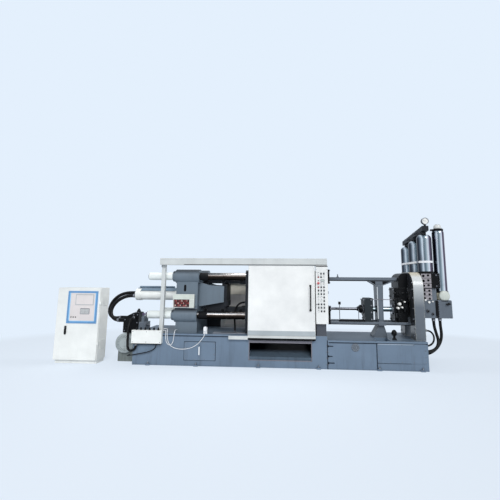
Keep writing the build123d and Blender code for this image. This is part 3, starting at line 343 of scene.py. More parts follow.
paints = {
    "bedPaint": dict(paint=(101, 119, 138), grime=(52, 58, 66), dirt=0.45, rough=0.4, topGrime=0.35),
    # castPaint: top faces darkened, painted shade; its wide pale edges are a painted highlight
    "castPaint": dict(
        paint=(98, 111, 122), grime=(30, 34, 38), dirt=0.4, rough=0.45, peel=70, bump=0.22, wearAndHighlight=0.4,
        topGrime=0.8, shine=0.35, edge=0.012, paintedLight=(("up", 0.55, 0.97, (50, 56, 63)),)),
    "castDark": dict(
        paint=(38, 41, 46), grime=(18, 18, 20), dirt=0.4, rough=0.45, peel=70, bump=0.22, topGrime=0.3,
        shine=0.12, wearAndHighlightTone=(120, 124, 128), edge=0.008),
    # framePaint: faces turned down are darkened, painted shade; its wide pale edges are a painted highlight
    "framePaint": dict(
        paint=(92, 101, 111), grime=(34, 38, 44), dirt=0.5, peel=80, bump=0.18, wearAndHighlight=0.8, wearAndHighlightTone=(168, 174, 182),
        shine=0.4, edge=0.014, paintedLight=(("up", -0.5, -0.8, (26, 28, 32)),)),
    # endPaint: lighter from 1.25 m up and beige at the shoulder, painted highlight; faces turned left darkened,
    # painted shade; wide pale edges, painted highlight
    "endPaint": dict(
        paint=(92, 100, 109), grime=(60, 58, 56), dirt=0.5, rough=0.32, peel=90, bump=0.12, wearAndHighlight=0.8,
        wearAndHighlightTone=(206, 202, 182), coat=0.3, edge=0.02,
        paintedLight=(("height", 1.25, 1.85, (206, 210, 210)), ("height", 1.87, 1.97, (208, 200, 176)),
               ("side", -0.4, -0.75, (40, 42, 46)))),
    "doorPaint": dict(
        paint=(230, 231, 229), grime=(196, 196, 192), dirt=0.15, rough=0.35, peel=260, bump=0.03, wearAndHighlight=0.15,
        coat=0.3),
    "guardPaint": dict(
        paint=(197, 201, 200), grime=(120, 116, 108), dirt=0.35, rough=0.4, peel=220, bump=0.04, wearAndHighlight=0.3,
        wearAndHighlightTone=(150, 148, 140)),
    "cabinetPaint": dict(paint=(229, 231, 228), grime=(196, 194, 184), dirt=0.2, peel=300, bump=0.05, wearAndHighlight=0.15),
    "darkPaint": dict(
        paint=(15, 16, 18), grime=(38, 36, 36), dirt=0.35, rough=0.36, peel=110, bump=0.14, wearAndHighlight=0.6,
        wearAndHighlightTone=(150, 154, 160), shine=0.1, edge=0.006),
    "beigePaint": dict(
        paint=(206, 201, 178), grime=(110, 100, 80), dirt=0.5, rough=0.4, peel=140, bump=0.1, wearAndHighlight=0.4),
    "motorPaint": dict(
        paint=(156, 165, 166), grime=(70, 72, 70), dirt=0.6, rough=0.45, peel=120, bump=0.12, wearAndHighlight=0.4),
    "blueFrame": dict(
        paint=(92, 144, 192), grime=(90, 110, 130), dirt=0.15, rough=0.3, peel=300, bump=0.03, wearAndHighlight=0.1,
        coat=0.4),
    "blackPlastic": dict(
        paint=(20, 21, 23), grime=(60, 60, 62), rough=0.36, peel=300, bump=0.1, wearAndHighlight=0.1, shine=0.15,
        wearAndHighlightTone=(70, 70, 74)),
    "coilPurple": dict(paint=(74, 58, 92), grime=(120, 112, 112), rough=0.36, peel=260, bump=0.1, wearAndHighlight=0.3),
    "cradlePaint": dict(
        paint=(112, 120, 118), grime=(24, 24, 26), dirt=0.7, rough=0.45, peel=120, bump=0.12, topGrime=0.5),
    # guideDark: faces turned left are darkened, painted shade
    "guideDark": dict(
        paint=(42, 48, 52), grime=(20, 20, 22), dirt=0.5, rough=0.45, peel=70, bump=0.2, wearAndHighlight=0.7,
        wearAndHighlightTone=(110, 116, 120), shine=0.12, edge=0.008, paintedLight=(("side", -0.4, -0.8, (16, 17, 18)),)),
    "jointAndShadowDark": dict(paint=(40, 48, 58), grime=(24, 26, 30), rough=0.6, bump=0.05, wearAndHighlight=0, shine=0.1),
    "paintedEdgeHighlight": dict(paint=(196, 202, 206), grime=(120, 124, 130), dirt=0.5, rough=0.35, bump=0.05, wearAndHighlight=0),
    "blueLight": dict(
        paint=(150, 200, 236), grime=(120, 150, 180), dirt=0.1, rough=0.3, bump=0.02, wearAndHighlight=0, coat=0.4),
    # chutePaint: near black above 0.26 m, painted shade in the upper part of the recess
    "chutePaint": dict(
        paint=(76, 91, 105), grime=(40, 40, 44), dirt=0.6, rough=0.5, wearAndHighlight=0.4, shine=0.2,
        paintedLight=(("height", 0.262, 0.3, (12, 13, 17)),)),
    "lipHighlight": dict(paint=(150, 164, 178), grime=(90, 96, 104), rough=0.35),
    "lidGreen": dict(
        paint=(200, 206, 198), grime=(130, 132, 120), dirt=0.4, rough=0.4, peel=300, bump=0.05, wearAndHighlight=0.2),
    "wineDark": dict(paint=(58, 28, 30), grime=(20, 16, 16), dirt=0.6, rough=0.5, wearAndHighlight=0.1),
    "pipeBlue": dict(paint=(106, 124, 140), grime=(60, 66, 74), dirt=0.4, rough=0.35, wearAndHighlight=0.4),
    "wrapPale": dict(
        paint=(226, 232, 230), grime=(170, 180, 168), dirt=0.5, rough=0.5, bump=0.3, peel=90, wearAndHighlight=0),
    # blackGap: near black for gaps and holes, and for strips of painted shade and shadow
    "blackGap": dict(paint=(14, 15, 18), grime=(40, 38, 38), dirt=0.2, rough=0.6, bump=0.1, wearAndHighlight=0, shine=0.1),
    "recessShadeDark": dict(paint=(9, 10, 13), grime=(30, 24, 22), dirt=0.4, rough=0.7, bump=0.1, wearAndHighlight=0, shine=0.05),
    "columnShade": dict(paint=(64, 68, 76), grime=(44, 40, 42), dirt=0.5, rough=0.45, bump=0.1, wearAndHighlight=0.4),
    "blockGrey": dict(paint=(150, 146, 150), grime=(60, 56, 58), dirt=0.7, rough=0.4, peel=90, bump=0.1),
    "rearPaint": dict(
        paint=(236, 232, 218), grime=(96, 92, 86), dirt=0.5, rough=0.45, peel=200, bump=0.06, wearAndHighlight=0.3),
    "rearShade": dict(
        paint=(214, 213, 212), grime=(80, 76, 72), dirt=0.5, rough=0.45, peel=200, bump=0.06, wearAndHighlight=0.3),
    "bedLip": dict(paint=(118, 116, 124), grime=(66, 62, 66), dirt=0.6, wearAndHighlight=0.3),
    "doorShade": dict(paint=(166, 174, 178), grime=(150, 150, 146), rough=0.38, peel=260, bump=0.03, wearAndHighlight=0.2),
    "plateGrey": dict(paint=(168, 172, 174), grime=(120, 120, 118), rough=0.35, peel=300, bump=0.03, wearAndHighlight=0.2),
    "terminalTan": dict(
        paint=(206, 180, 172), grime=(90, 50, 46), dirt=0.7, rough=0.5, peel=300, bump=0.1, wearAndHighlight=0.2),
    "screenPane": dict(
        paint=(216, 209, 207), grime=(190, 170, 168), dirt=0.1, rough=0.16, peel=400, bump=0.01, wearAndHighlight=0,
        coat=0.6),
    "strapWhite": dict(
        paint=(236, 238, 240), grime=(150, 150, 150), dirt=0.4, rough=0.6, peel=400, bump=0.25, wearAndHighlight=0),
}
metals = {
    # chromeBar: dark underside and a white stripe near the top, painted reflection and highlight
    "chromeBar": dict(
        metal=(232, 228, 226), stain=(120, 100, 88), stained=0.5, rough=0.2, lines=(0.7, 16, 16), depth=0.4,
        reflectionBands=((0.0, (34, 29, 26)), (0.38, (46, 40, 36)), (0.58, (84, 74, 68)), (0.66, (150, 146, 142)),
               (0.71, (255, 255, 255)), (0.82, (250, 250, 250)), (0.88, (96, 92, 90)), (1.0, (44, 42, 42)))),
    # rodDark: dark below with a light top line, painted reflection
    "rodDark": dict(
        metal=(200, 200, 204), stain=(70, 58, 50), stained=0.3, rough=0.3, lines=(0.7, 16, 16), depth=0.3,
        reflectionBands=((0.0, (30, 30, 32)), (0.5, (44, 44, 48)), (0.66, (150, 152, 158)), (0.84, (226, 228, 232)),
               (1.0, (150, 152, 158)))),
    # rodGrey: bands round the rod, painted reflection
    "rodGrey": dict(
        metal=(214, 220, 222), stain=(90, 96, 96), stained=0.4, rough=0.32, lines=(0.7, 16, 16), depth=0.3,
        reflectionBands=((0.0, (50, 56, 60)), (0.3, (110, 124, 128)), (0.6, (176, 190, 194)), (0.8, (226, 232, 234)),
               (0.9, (140, 150, 154)), (1.0, (100, 108, 112)))),
    "groundSteel": dict(metal=(168, 170, 176), stain=(70, 58, 50), stained=0.4, rough=0.34, lines=(30, 160, 160)),
    # bottleSteel: its bands and dark vertical lines are painted reflections
    "bottleSteel": dict(
        metal=(238, 240, 242), stain=(122, 106, 116), stained=0.35, rough=0.16, lines=(15, 15, 0.45),
        depth=0.3,
        reflectionAxis="X",
        reflectionBands=((0.0, (50, 52, 60)), (0.05, (62, 68, 78)), (0.11, (120, 130, 138)), (0.17, (196, 204, 210)),
               (0.23, (246, 250, 252)), (0.28, (132, 142, 150)), (0.36, (140, 156, 162)),
               (0.45, (200, 214, 218)),
               (0.53, (255, 255, 255)), (0.62, (246, 248, 252)), (0.67, (128, 112, 130)),
               (0.78, (70, 62, 74)),
               (0.88, (150, 134, 150)), (1.0, (84, 80, 90)))),
    "boltSteel": dict(metal=(132, 134, 140), stain=(64, 50, 40), stained=0.5, rough=0.36, lines=(200, 200, 200)),
}
rubbers = {
    "hoseRubber": dict(tone=(9, 9, 10), rough=0.4),
    "cableBlack": dict(tone=(30, 32, 36), rough=0.45),
    "cableWhite": dict(tone=(232, 234, 236), rough=0.45),
}
capTones = {
    "capRed": (176, 66, 72), "capGreen": (70, 112, 92), "capWhite": (232, 232, 228),
    "capPink": (228, 186, 184), "capDark": (34, 35, 38), "capPale": (214, 216, 214),
    "meterGreen": (188, 200, 194), "keyGrey": (120, 122, 128), "wireRed": (150, 62, 60),
}
look = {}
for name, values in paints.items():
    look[name] = paintMaterial(name, **values)
for name, values in metals.items():
    look[name] = metalMaterial(name, **values)
for name, values in rubbers.items():
    look[name] = rubberMaterial(name, **values)
for name, tone in capTones.items():
    look[name] = paintMaterial(name, tone, grime=(70, 66, 62), dirt=0.15, rough=0.3, peel=500.0, bump=0.02, wearAndHighlight=0.1,
                               wearAndHighlightTone=tone, coat=0.4, patch=20.0)
print("materials made:", len(look))

# which finish goes on which CAD node
finishes = {
    "bedPaint": ["clamp_bed", "injection_bed", "access_panels"],
    "chutePaint": ["drop_chute"],
    "castPaint": ["tail_platen", "tie_bar_nuts"],
    "castDark": ["moving_platen", "fixed_platen", "toggle_links", "crosshead", "accumulator_header"],
    "guideDark": ["shot_guide_head"],
    "chromeBar": ["tie_bars", "clamp_rod"],
    "rodGrey": ["shot_rod"],
    "rodDark": ["plunger_rod"],
    "groundSteel": ["platen_ways", "shot_sleeve"],
    "darkPaint": ["plunger_coupling", "shot_cylinder", "accumulator_base", "pump_block", "toggle_pins"],
    "cradlePaint": ["motor_cradle"],
    "cabinetPaint": ["clamp_cylinder", "terminal_box", "junction_box", "cabinet_case", "cabinet_door"],
    "guardPaint": ["guard_posts", "top_rail", "door_guide", "rear_guard"],
    "doorPaint": ["front_door", "button_panel"],
    "blackPlastic": ["door_handle", "push_buttons", "cabinet_handle"],
    "framePaint": ["injection_frame", "end_manifold", "clamp_valve_block", "end_valve_block"],
    "endPaint": ["end_frame"],
    "bottleSteel": ["accumulators", "side_accumulator"],
    "beigePaint": ["manifold_disc"],
    "strapWhite": ["accumulator_strap"],
    "motorPaint": ["pump_motor"],
    "blueFrame": ["cabinet_screen"],
    "cableWhite": ["limit_switch"],
}
for finish, nodes in finishes.items():
    for name in nodes:
        cadObject = bpy.data.objects[name]
        cadObject.data.materials.clear()
        cadObject.data.materials.append(look[finish])
print("CAD pieces painted")

# hoses and cables follow the routes of their CAD tubes, in metres
cords = {
    "main_hose": dict(diameter=0.076, length=1.302, look="hoseRubber", stiffness="stiff", route=[
        (-3.3, 0.05, 1.47), (-3.42, 0.05, 1.47), (-3.58, 0.042, 1.466), (-3.74, 0.02, 1.412),
        (-3.862, -0.01, 1.3), (-3.92, -0.045, 1.16), (-3.918, -0.075, 1.02), (-3.85, -0.095, 0.925),
        (-3.75, -0.102, 0.892), (-3.66, -0.1, 0.905), (-3.575, -0.1, 0.905)]),
    "main_hose_2": dict(diameter=0.076, length=1.082, look="hoseRubber", stiffness="stiff", route=[
        (-3.3, -0.05, 1.405), (-3.4, -0.05, 1.405), (-3.53, -0.06, 1.392), (-3.665, -0.085, 1.335),
        (-3.775, -0.115, 1.235), (-3.832, -0.15, 1.11), (-3.82, -0.18, 0.985), (-3.75, -0.195, 0.9),
        (-3.66, -0.2, 0.862), (-3.575, -0.2, 0.862)]),
    "down_hose": dict(diameter=0.05, length=1.092, look="hoseRubber", stiffness="stiff", route=[
        (-3.21, -0.3, 0.93), (-3.21, -0.39, 0.93), (-3.212, -0.48, 0.88), (-3.214, -0.53, 0.76),
        (-3.212, -0.548, 0.61), (-3.204, -0.565, 0.46), (-3.178, -0.6, 0.335), (-3.11, -0.64, 0.28),
        (-3.02, -0.662, 0.3), (-2.966, -0.666, 0.37), (-2.966, -0.666, 0.45)]),
    "platen_hose": dict(diameter=0.04, length=0.818, look="hoseRubber", stiffness="stiff", route=[
        (-0.66, -0.29, 1.3), (-0.74, -0.29, 1.3), (-0.83, -0.288, 1.27), (-0.895, -0.286, 1.19),
        (-0.925, -0.284, 1.08), (-0.93, -0.284, 0.96), (-0.92, -0.284, 0.84), (-0.915, -0.285, 0.74),
        (-0.915, -0.285, 0.65)]),
    "end_hose_1": dict(diameter=0.06, length=0.928, look="hoseRubber", stiffness="stiff", route=[
        (3.37, -0.24, 1.01), (3.37, -0.24, 0.86), (3.4, -0.26, 0.7), (3.428, -0.29, 0.56),
        (3.39, -0.33, 0.44), (3.3, -0.365, 0.37), (3.19, -0.38, 0.34), (3.08, -0.38, 0.34)]),
    "end_hose_2": dict(diameter=0.06, length=1.014, look="hoseRubber", stiffness="stiff", route=[
        (3.52, -0.2, 1.01), (3.52, -0.2, 0.85), (3.536, -0.205, 0.69), (3.51, -0.215, 0.54),
        (3.43, -0.23, 0.41), (3.32, -0.245, 0.32), (3.2, -0.258, 0.27), (3.08, -0.258, 0.27)]),
    "drain_hose": dict(diameter=0.036, length=0.55, look="hoseRubber", stiffness="medium", route=[
        (3.107, -0.44, 0.775), (3.165, -0.44, 0.775), (3.228, -0.44, 0.748), (3.272, -0.44, 0.686),
        (3.282, -0.44, 0.606), (3.254, -0.44, 0.53), (3.194, -0.44, 0.48), (3.137, -0.44, 0.466),
        (3.08, -0.44, 0.466)]),
    "white_cable_1": dict(diameter=0.012, length=0.887, look="cableWhite", stiffness="limp", route=[
        (-2.43, -0.565, 0.705), (-2.385, -0.565, 0.705), (-2.352, -0.6, 0.7), (-2.344, -0.632, 0.668),
        (-2.342, -0.638, 0.61), (-2.336, -0.636, 0.52), (-2.31, -0.634, 0.45), (-2.262, -0.633, 0.412),
        (-2.208, -0.633, 0.425), (-2.178, -0.634, 0.482), (-2.166, -0.636, 0.56), (-2.162, -0.634, 0.63),
        (-2.158, -0.62, 0.69), (-2.154, -0.58, 0.722), (-2.152, -0.53, 0.714), (-2.152, -0.48, 0.714)]),
    "white_cable_2": dict(diameter=0.012, length=1.424, look="cableWhite", stiffness="limp", route=[
        (-2.43, -0.545, 0.738), (-2.37, -0.545, 0.738), (-2.33, -0.578, 0.738), (-2.314, -0.62, 0.724),
        (-2.31, -0.638, 0.682), (-2.306, -0.642, 0.6), (-2.29, -0.646, 0.51), (-2.25, -0.649, 0.43),
        (-2.175, -0.651, 0.372), (-2.05, -0.648, 0.34), (-1.9, -0.645, 0.34), (-1.75, -0.645, 0.378),
        (-1.635, -0.642, 0.452), (-1.562, -0.637, 0.54), (-1.516, -0.63, 0.604), (-1.5, -0.627, 0.66),
        (-1.5, -0.627, 0.712)]),
    "black_cable": dict(diameter=0.02, length=1.007, look="cableBlack", stiffness="medium", route=[
        (-2.53, -0.66, 0.45), (-2.53, -0.66, 0.39), (-2.58, -0.666, 0.32), (-2.7, -0.668, 0.272),
        (-2.85, -0.664, 0.24), (-2.99, -0.652, 0.212), (-3.1, -0.628, 0.188), (-3.185, -0.575, 0.166),
        (-3.222, -0.5, 0.154), (-3.23, -0.425, 0.15), (-3.23, -0.36, 0.15)]),
}


def makeCord(name, c):
    curve = bpy.data.curves.new(name + "_line", "CURVE")
    curve.dimensions = "3D"
    curve.bevel_depth = c["diameter"] / 2
    curve.bevel_resolution = 5
    curve.use_fill_caps = True
    spline = curve.splines.new("NURBS")
    spline.points.add(len(c["route"]) - 1)
    for point, place in zip(spline.points, c["route"]):
        point.co = (*place, 1)
    spline.order_u = 3
    spline.use_endpoint_u = True
    spline.resolution_u = 12
    obj = bpy.data.objects.new(name + "_cord", curve)
    bpy.context.collection.objects.link(obj)
    curve.materials.append(look[c["look"]])
    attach(obj, "machine")
    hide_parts(name)


for name, values in cords.items():
    makeCord(name, values)
print("cords laid")

# small mesh makers


def finishMesh(name, mesh, finish, body="machine", smooth=True, bevel=0.0):
    data = bpy.data.meshes.new(name)
    bmesh.ops.recalc_face_normals(mesh, faces=mesh.faces)
    mesh.to_mesh(data)
    mesh.free()
    obj = bpy.data.objects.new(name, data)
    bpy.context.collection.objects.link(obj)
    data.materials.append(look[finish])
    if bevel:
        modifier = obj.modifiers.new("bevel", "BEVEL")
        modifier.width = bevel
        modifier.segments = 2
        modifier.limit_method = "ANGLE"
        modifier.angle_limit = math.radians(35)
    if smooth:
        data.polygons.foreach_set("use_smooth", [True] * len(data.polygons))
        data.set_sharp_from_angle(angle=math.radians(38))
    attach(obj, body)


# a frame whose third axis points along the given direction
def aim(place, direction):
    return Matrix.Translation(place) @ Vector(direction).to_track_quat("Z", "Y").to_matrix().to_4x4()


def addBox(mesh, low, high, matrix=None):
    corners = [Vector((x, y, z)) for z in (low[2], high[2]) for y in (low[1], high[1]) for x in (low[0], high[0])]
    if matrix:
        corners = [matrix @ c for c in corners]
    v = [mesh.verts.new(c) for c in corners]
    for face in ((0, 1, 3, 2), (4, 5, 7, 6), (0, 1, 5, 4), (2, 3, 7, 6), (0, 2, 6, 4), (1, 3, 7, 5)):
        mesh.faces.new([v[i] for i in face])


# turned shape: rings of (distance along, radius) about an axis
def addTurned(mesh, place, direction, rings, sides=32, closed=True):
    matrix = aim(place, direction)
    loops = []
    for along, radius in rings:
        loops.append([mesh.verts.new(matrix @ Vector((radius * math.cos(2 * math.pi * k / sides),
                                                      radius * math.sin(2 * math.pi * k / sides), along)))
                      for k in range(sides)])
    for a, b in zip(loops, loops[1:]):
        for k in range(sides):
            mesh.faces.new((a[k], a[(k + 1) % sides], b[(k + 1) % sides], b[k]))
    if closed:
        mesh.faces.new(loops[0])
        mesh.faces.new(loops[-1])


# hexagon head or socket screw with a washer under it
def addBolt(mesh, place, direction, width, height, socket=False):
    washer = width * 0.68
    addTurned(mesh, place, direction, [(0, washer), (height * 0.2, washer), (height * 0.24, washer * 0.95)], 20)
    if socket:
        r = width / 2
        addTurned(mesh, place, direction, [(0.001, r), (height * 0.85, r), (height, r * 0.88), (height, r * 0.52),
                                           (height * 0.45, r * 0.46)], 18)
    else:
        addTurned(mesh, place, direction, [(0.001, width * 0.577), (height * 0.8, width * 0.577),
                                           (height, width * 0.48)], 6)


def boltRing(mesh, centre, direction, radius, count, width, height, start, socket=False):
    matrix = aim(centre, direction)
    for k in range(count):
        turn = start + 2 * math.pi * k / count
        place = matrix @ Vector((radius * math.cos(turn), radius * math.sin(turn), 0))
        addBolt(mesh, place, direction, width, height, socket)


# a round tube along a list of points, for stiff pipes and wires
def addTube(mesh, points, radius, sides=14):
    rings = []
    for i, place in enumerate(points):
        before, after = points[max(i - 1, 0)], points[min(i + 1, len(points) - 1)]
        matrix = aim(place, Vector(after) - Vector(before))
        rings.append([mesh.verts.new(matrix @ Vector((radius * math.cos(2 * math.pi * k / sides),
                                                      radius * math.sin(2 * math.pi * k / sides), 0)))
                      for k in range(sides)])
    for a, b in zip(rings, rings[1:]):
        # the turn that keeps the sides of two rings in line
        shift = min(range(sides), key=lambda s: sum((a[k].co - b[(k + s) % sides].co).length
                                                    for k in (0, sides // 3)))
        for k in range(sides):
            mesh.faces.new((a[k], a[(k + 1) % sides], b[(k + 1 + shift) % sides], b[(k + shift) % sides]))
    mesh.faces.new(rings[0])
    mesh.faces.new(rings[-1])


# points round a bend between straight runs
def bentLine(corners, radius, steps=6):
    line = [Vector(corners[0])]
    for a, b, c in zip(corners, corners[1:], corners[2:]):
        a, b, c = Vector(a), Vector(b), Vector(c)
        back, on = (a - b).normalized(), (c - b).normalized()
        half = back.angle(on) / 2
        reach = min(radius / math.tan(half), (a - b).length * 0.48, (c - b).length * 0.48)
        for k in range(steps + 1):
            t = k / steps
            line.append((b + back * reach) * (1 - t) ** 2 + b * 2 * t * (1 - t) + (b + on * reach) * t * t)
    line.append(Vector(corners[-1]))
    return line


# a flat outline given as (across, up) pairs, pushed along a direction
def addSlab(mesh, outline, place, acrossAxis, upAxis, depth):
    acrossAxis, upAxis, place = Vector(acrossAxis), Vector(upAxis), Vector(place)
    push = acrossAxis.cross(upAxis).normalized() * depth
    near = [mesh.verts.new(place + acrossAxis * a + upAxis * b) for a, b in outline]
    far = [mesh.verts.new(v.co + push) for v in near]
    mesh.faces.new(near)
    mesh.faces.new(far)
    for k in range(len(near)):
        mesh.faces.new((near[k], near[(k + 1) % len(near)], far[(k + 1) % len(near)], far[k]))


def roundedOutline(low, high, radius, steps=5):
    outline = []
    for cx, cy, start in ((high[0] - radius, high[1] - radius, 0), (low[0] + radius, high[1] - radius, 90),
                          (low[0] + radius, low[1] + radius, 180), (high[0] - radius, low[1] + radius, 270)):
        for k in range(steps + 1):
            turn = math.radians(start + 90 * k / steps)
            outline.append((cx + radius * math.cos(turn), cy + radius * math.sin(turn)))
    return outline


front, rear, up = (0, -1, 0), (0, 1, 0), (0, 0, 1)
toLeft, toRight = (-1, 0, 0), (1, 0, 0)     # toward the control cabinet, toward the shot end


# every place where the given X, Y and Z values meet
def grid(xs, ys, zs):
    return [(x, y, z) for x in xs for y in ys for z in zs]


def addBolts(mesh, places, direction, width, height, socket=False):
    for place in places:
        addBolt(mesh, place, direction, width, height, socket)


# a plate with rounded corners that faces the front, from (x, z) to (x, z)
def addPlate(mesh, low, high, radius, face, thickness):
    addSlab(mesh, roundedOutline(low, high, radius), (0, face, 0), toRight, up, -thickness)


def addBoxPiece(name, boxes, finish, bevel, body="machine"):
    mesh = bmesh.new()
    for low, high in boxes:
        addBox(mesh, low, high)
    finishMesh(name, mesh, finish, body=body, bevel=bevel)


def addPlatePiece(name, low, high, radius, face, thickness, finish, slot, bevel=0.0, body="machine"):
    mesh = bmesh.new()
    addPlate(mesh, low, high, radius, face, thickness)
    finishMesh(name, mesh, finish, body=body, bevel=bevel)


def addTurnedPiece(name, place, direction, rings, sides, finish, body="machine"):
    mesh = bmesh.new()
    addTurned(mesh, place, direction, rings, sides)
    finishMesh(name, mesh, finish, body=body)


print("makers ready")
# bed: rims along its edges, joints, levelling screws, panel screws and the round port
bed = {
    "left": -3.05, "seam": 1.065, "right": 3.08, "half": 0.62, "clampTop": 0.65, "shotTop": 0.57,
    "rimEnd": -0.99,       # the front rim stops where the door's guide starts
    "rimDepth": 0.006, "rimHeight": 0.034, "rimLift": 0.002, "footHeight": 0.018, "seamGap": 0.004,
    "stripDepth": 0.004, "stripWidth": 0.03, "stripDrop": 0.04,
    "jointDepth": 0.0075, "rimShadowHigh": 0.036, "rimShadowLow": 0.052, "jointWidth": 0.009,
    "liftSlots": ((0.455, 0.12), (0.255, 0.1), (0.125, 0.14)),     # height and reach of each
    "lugs": (-2.7, -1.67, -0.36, 0.88, 2.1, 2.95), "lugReach": 0.023,
    "seamScrews": (0.09, 0.215, 0.34, 0.465), "seamScrewReach": 0.016,
    "leftPanel": (-1.93, -1.27, 0.12, 0.489), "rightPanel": (2.07, 3.04, 0.149, 0.526),
    "panelFace": -0.632, "screwInset": 0.022, "screwStep": 0.24,
    "port": (1.633, 0.439), "portRadius": 0.08,
    "sleeve": (-1.6, -0.674, 0.236), "columnEdges": (0.8485, 1.05), "column": (0.652, 0.9045, -0.6135),
    # boxes are (low corner, high corner)
    "recessFrame": [((-0.55, -0.624, 0.495), (0.735, -0.62, 0.545)),
                    ((-0.566, -0.625, 0.14), (-0.55, -0.62, 0.556)),
                    ((0.735, -0.625, 0.14), (0.751, -0.62, 0.556)),
                    ((-0.566, -0.625, 0.139), (0.751, -0.62, 0.155))],
    "recessShadeLining": [((-0.548, -0.6, 0.3), (-0.545, 0.26, 0.493)), ((0.73, -0.6, 0.17), (0.733, 0.26, 0.493)),
                     ((-0.545, -0.6, 0.49), (0.73, -0.302, 0.493)),
                     ((-0.545, 0.272, 0.17), (0.73, 0.275, 0.493))],
    "guideShade": [((-0.575, -0.7105, 0.5685), (0.822, -0.708, 0.604)),
                   ((-0.56, -0.6245, 0.546), (0.8, -0.62, 0.5675))],
    "castingSlot": ((-2.026, 1.533), (-1.978, 1.675)), "castingFace": -0.503,
}


def makeBedRims(b):
    seamLeft, seamRight = b["seam"] - b["seamGap"], b["seam"] + b["seamGap"]
    mesh = bmesh.new()
    for x0, x1, top, side in ((b["left"], b["rimEnd"], b["clampTop"], -1),
                              (b["left"], seamLeft, b["clampTop"], 1),
                              (seamRight, b["right"], b["shotTop"], -1),
                              (seamRight, b["right"], b["shotTop"], 1)):
        y0, y1 = sorted((side * b["half"], side * (b["half"] + b["rimDepth"])))
        addBox(mesh, (x0, y0, top - b["rimHeight"]), (x1, y1, top + b["rimLift"]))
        addBox(mesh, (x0, y0, 0.0), (x1, y1, b["footHeight"]))
    # cover strips on both sides of the seam
    for side in (-1, 1):
        y0, y1 = sorted((side * b["half"], side * (b["half"] + b["stripDepth"])))
        for x0, x1, top in ((b["seam"] - b["stripWidth"], b["seam"] - 0.002, b["clampTop"]),
                            (b["seam"] + 0.002, b["seam"] + b["stripWidth"], b["shotTop"])):
            addBox(mesh, (x0, y0, 0.03), (x1, y1, top - b["stripDrop"]))
    finishMesh("bedRims", mesh, "bedPaint", bevel=0.002)


# dark joints round the panels, at the seam and its three lifting slots, and a dark strip under the top plates' rims,
# painted shadow under their overhang
def makeBedJointsAndShadow(b):
    mesh = bmesh.new()
    face, wall, seam, wide = -b["half"] - b["jointDepth"], -b["half"], b["seam"], b["jointWidth"]
    # painted shadow: the dark strip under each top plate's rim
    for x0, x1, top in ((b["left"], b["rimEnd"], b["clampTop"]),
                        (seam + b["stripWidth"], b["right"], b["shotTop"])):
        addBox(mesh, (x0, face, top - b["rimShadowLow"]), (x1, wall, top - b["rimShadowHigh"]))
    addBox(mesh, (seam - 0.008, face, 0.0), (seam + 0.01, wall, b["shotTop"]))
    for z, reach in b["liftSlots"]:
        addBox(mesh, (seam, face, z - 0.009), (seam + reach, wall, z + 0.009))
        addBox(mesh, (seam - 0.002, face, z - 0.02), (seam + 0.03, wall, z + 0.02))
    x0, x1, z0, z1 = b["leftPanel"]
    addBox(mesh, (x0 - wide, face, z0 - wide), (x0, wall, z1 + wide))
    addBox(mesh, (x1, face, z0 - wide), (x1 + wide, wall, z1 + wide))
    addBox(mesh, (x0, face, z0 - wide), (x1, wall, z0))
    addBox(mesh, (x0, face, z1), (x1, wall, z1 + wide))
    x0, x1, z0, z1 = b["rightPanel"]
    addBox(mesh, (x0 - 0.016, face, 0.02), (x0, wall, z1 + wide))
    addBox(mesh, (x0, face, z0 - wide), (x0 + 0.66, wall, z0))
    finishMesh("bedJointsAndShadow", mesh, "jointAndShadowDark", bevel=0.001)
    # a lighter strip along the right panel's top, its folded lip: painted highlight
    mesh = bmesh.new()
    addBox(mesh, (x0 + 0.01, b["panelFace"] - 0.003, z1 - 0.018), (x0 + 0.72, b["panelFace"], z1 - 0.004))
    finishMesh("panelLipHighlight", mesh, "lipHighlight", bevel=0.001)


def makeBedScrews(b):
    mesh = bmesh.new()
    for side in (-1, 1):
        y = side * (b["half"] + b["lugReach"])
        for x in b["lugs"]:
            addBolt(mesh, (x, y, 0.034), up, 0.026, 0.016)
            addTurned(mesh, (x, y, 0.05), up, [(0, 0.009), (0.022, 0.009), (0.025, 0.007)], 16)
        seamXs = (b["seam"] - b["seamScrewReach"], b["seam"] + b["seamScrewReach"])
        y = side * (b["half"] + b["stripDepth"])
        addBolts(mesh, grid(seamXs, (y,), b["seamScrews"]), (0, side, 0), 0.014, 0.009, True)
    inset = b["screwInset"]
    for x0, x1, z0, z1 in (b["leftPanel"], b["rightPanel"]):
        across = max(3, round((x1 - x0) / b["screwStep"]))
        along = [x0 + inset + (x1 - x0 - 2 * inset) * k / across for k in range(across + 1)]
        thirds = (z0 + (z1 - z0) / 3, z0 + (z1 - z0) * 2 / 3)
        places = grid(along, (b["panelFace"],), (z0 + inset, z1 - inset))
        places += grid((x0 + inset, x1 - inset), (b["panelFace"],), thirds)
        addBolts(mesh, places, front, 0.013, 0.007, True)
    finishMesh("bedScrews", mesh, "boltSteel")
    mesh = bmesh.new()
    x, z = b["port"]
    r = b["portRadius"]
    addTurned(mesh, (x, -b["half"], z), front,
              [(0, r), (0.01, r), (0.013, r - 0.004), (0.013, r * 0.74), (0.006, r * 0.7), (0.006, r * 0.3),
               (0.016, r * 0.26), (0.018, r * 0.1)], 48)
    boltRing(mesh, (x, -b["half"] - 0.013, z), front, r * 0.87, 8, 0.01, 0.006, 0.2, True)
    finishMesh("bedPort", mesh, "framePaint")
    # white sleeve on the left panel's handle
    addTurnedPiece("handleSleeve", b["sleeve"], up,
                   [(0, 0.0095), (0.002, 0.0125), (0.163, 0.0125), (0.165, 0.0095)], 24, "strapWhite")


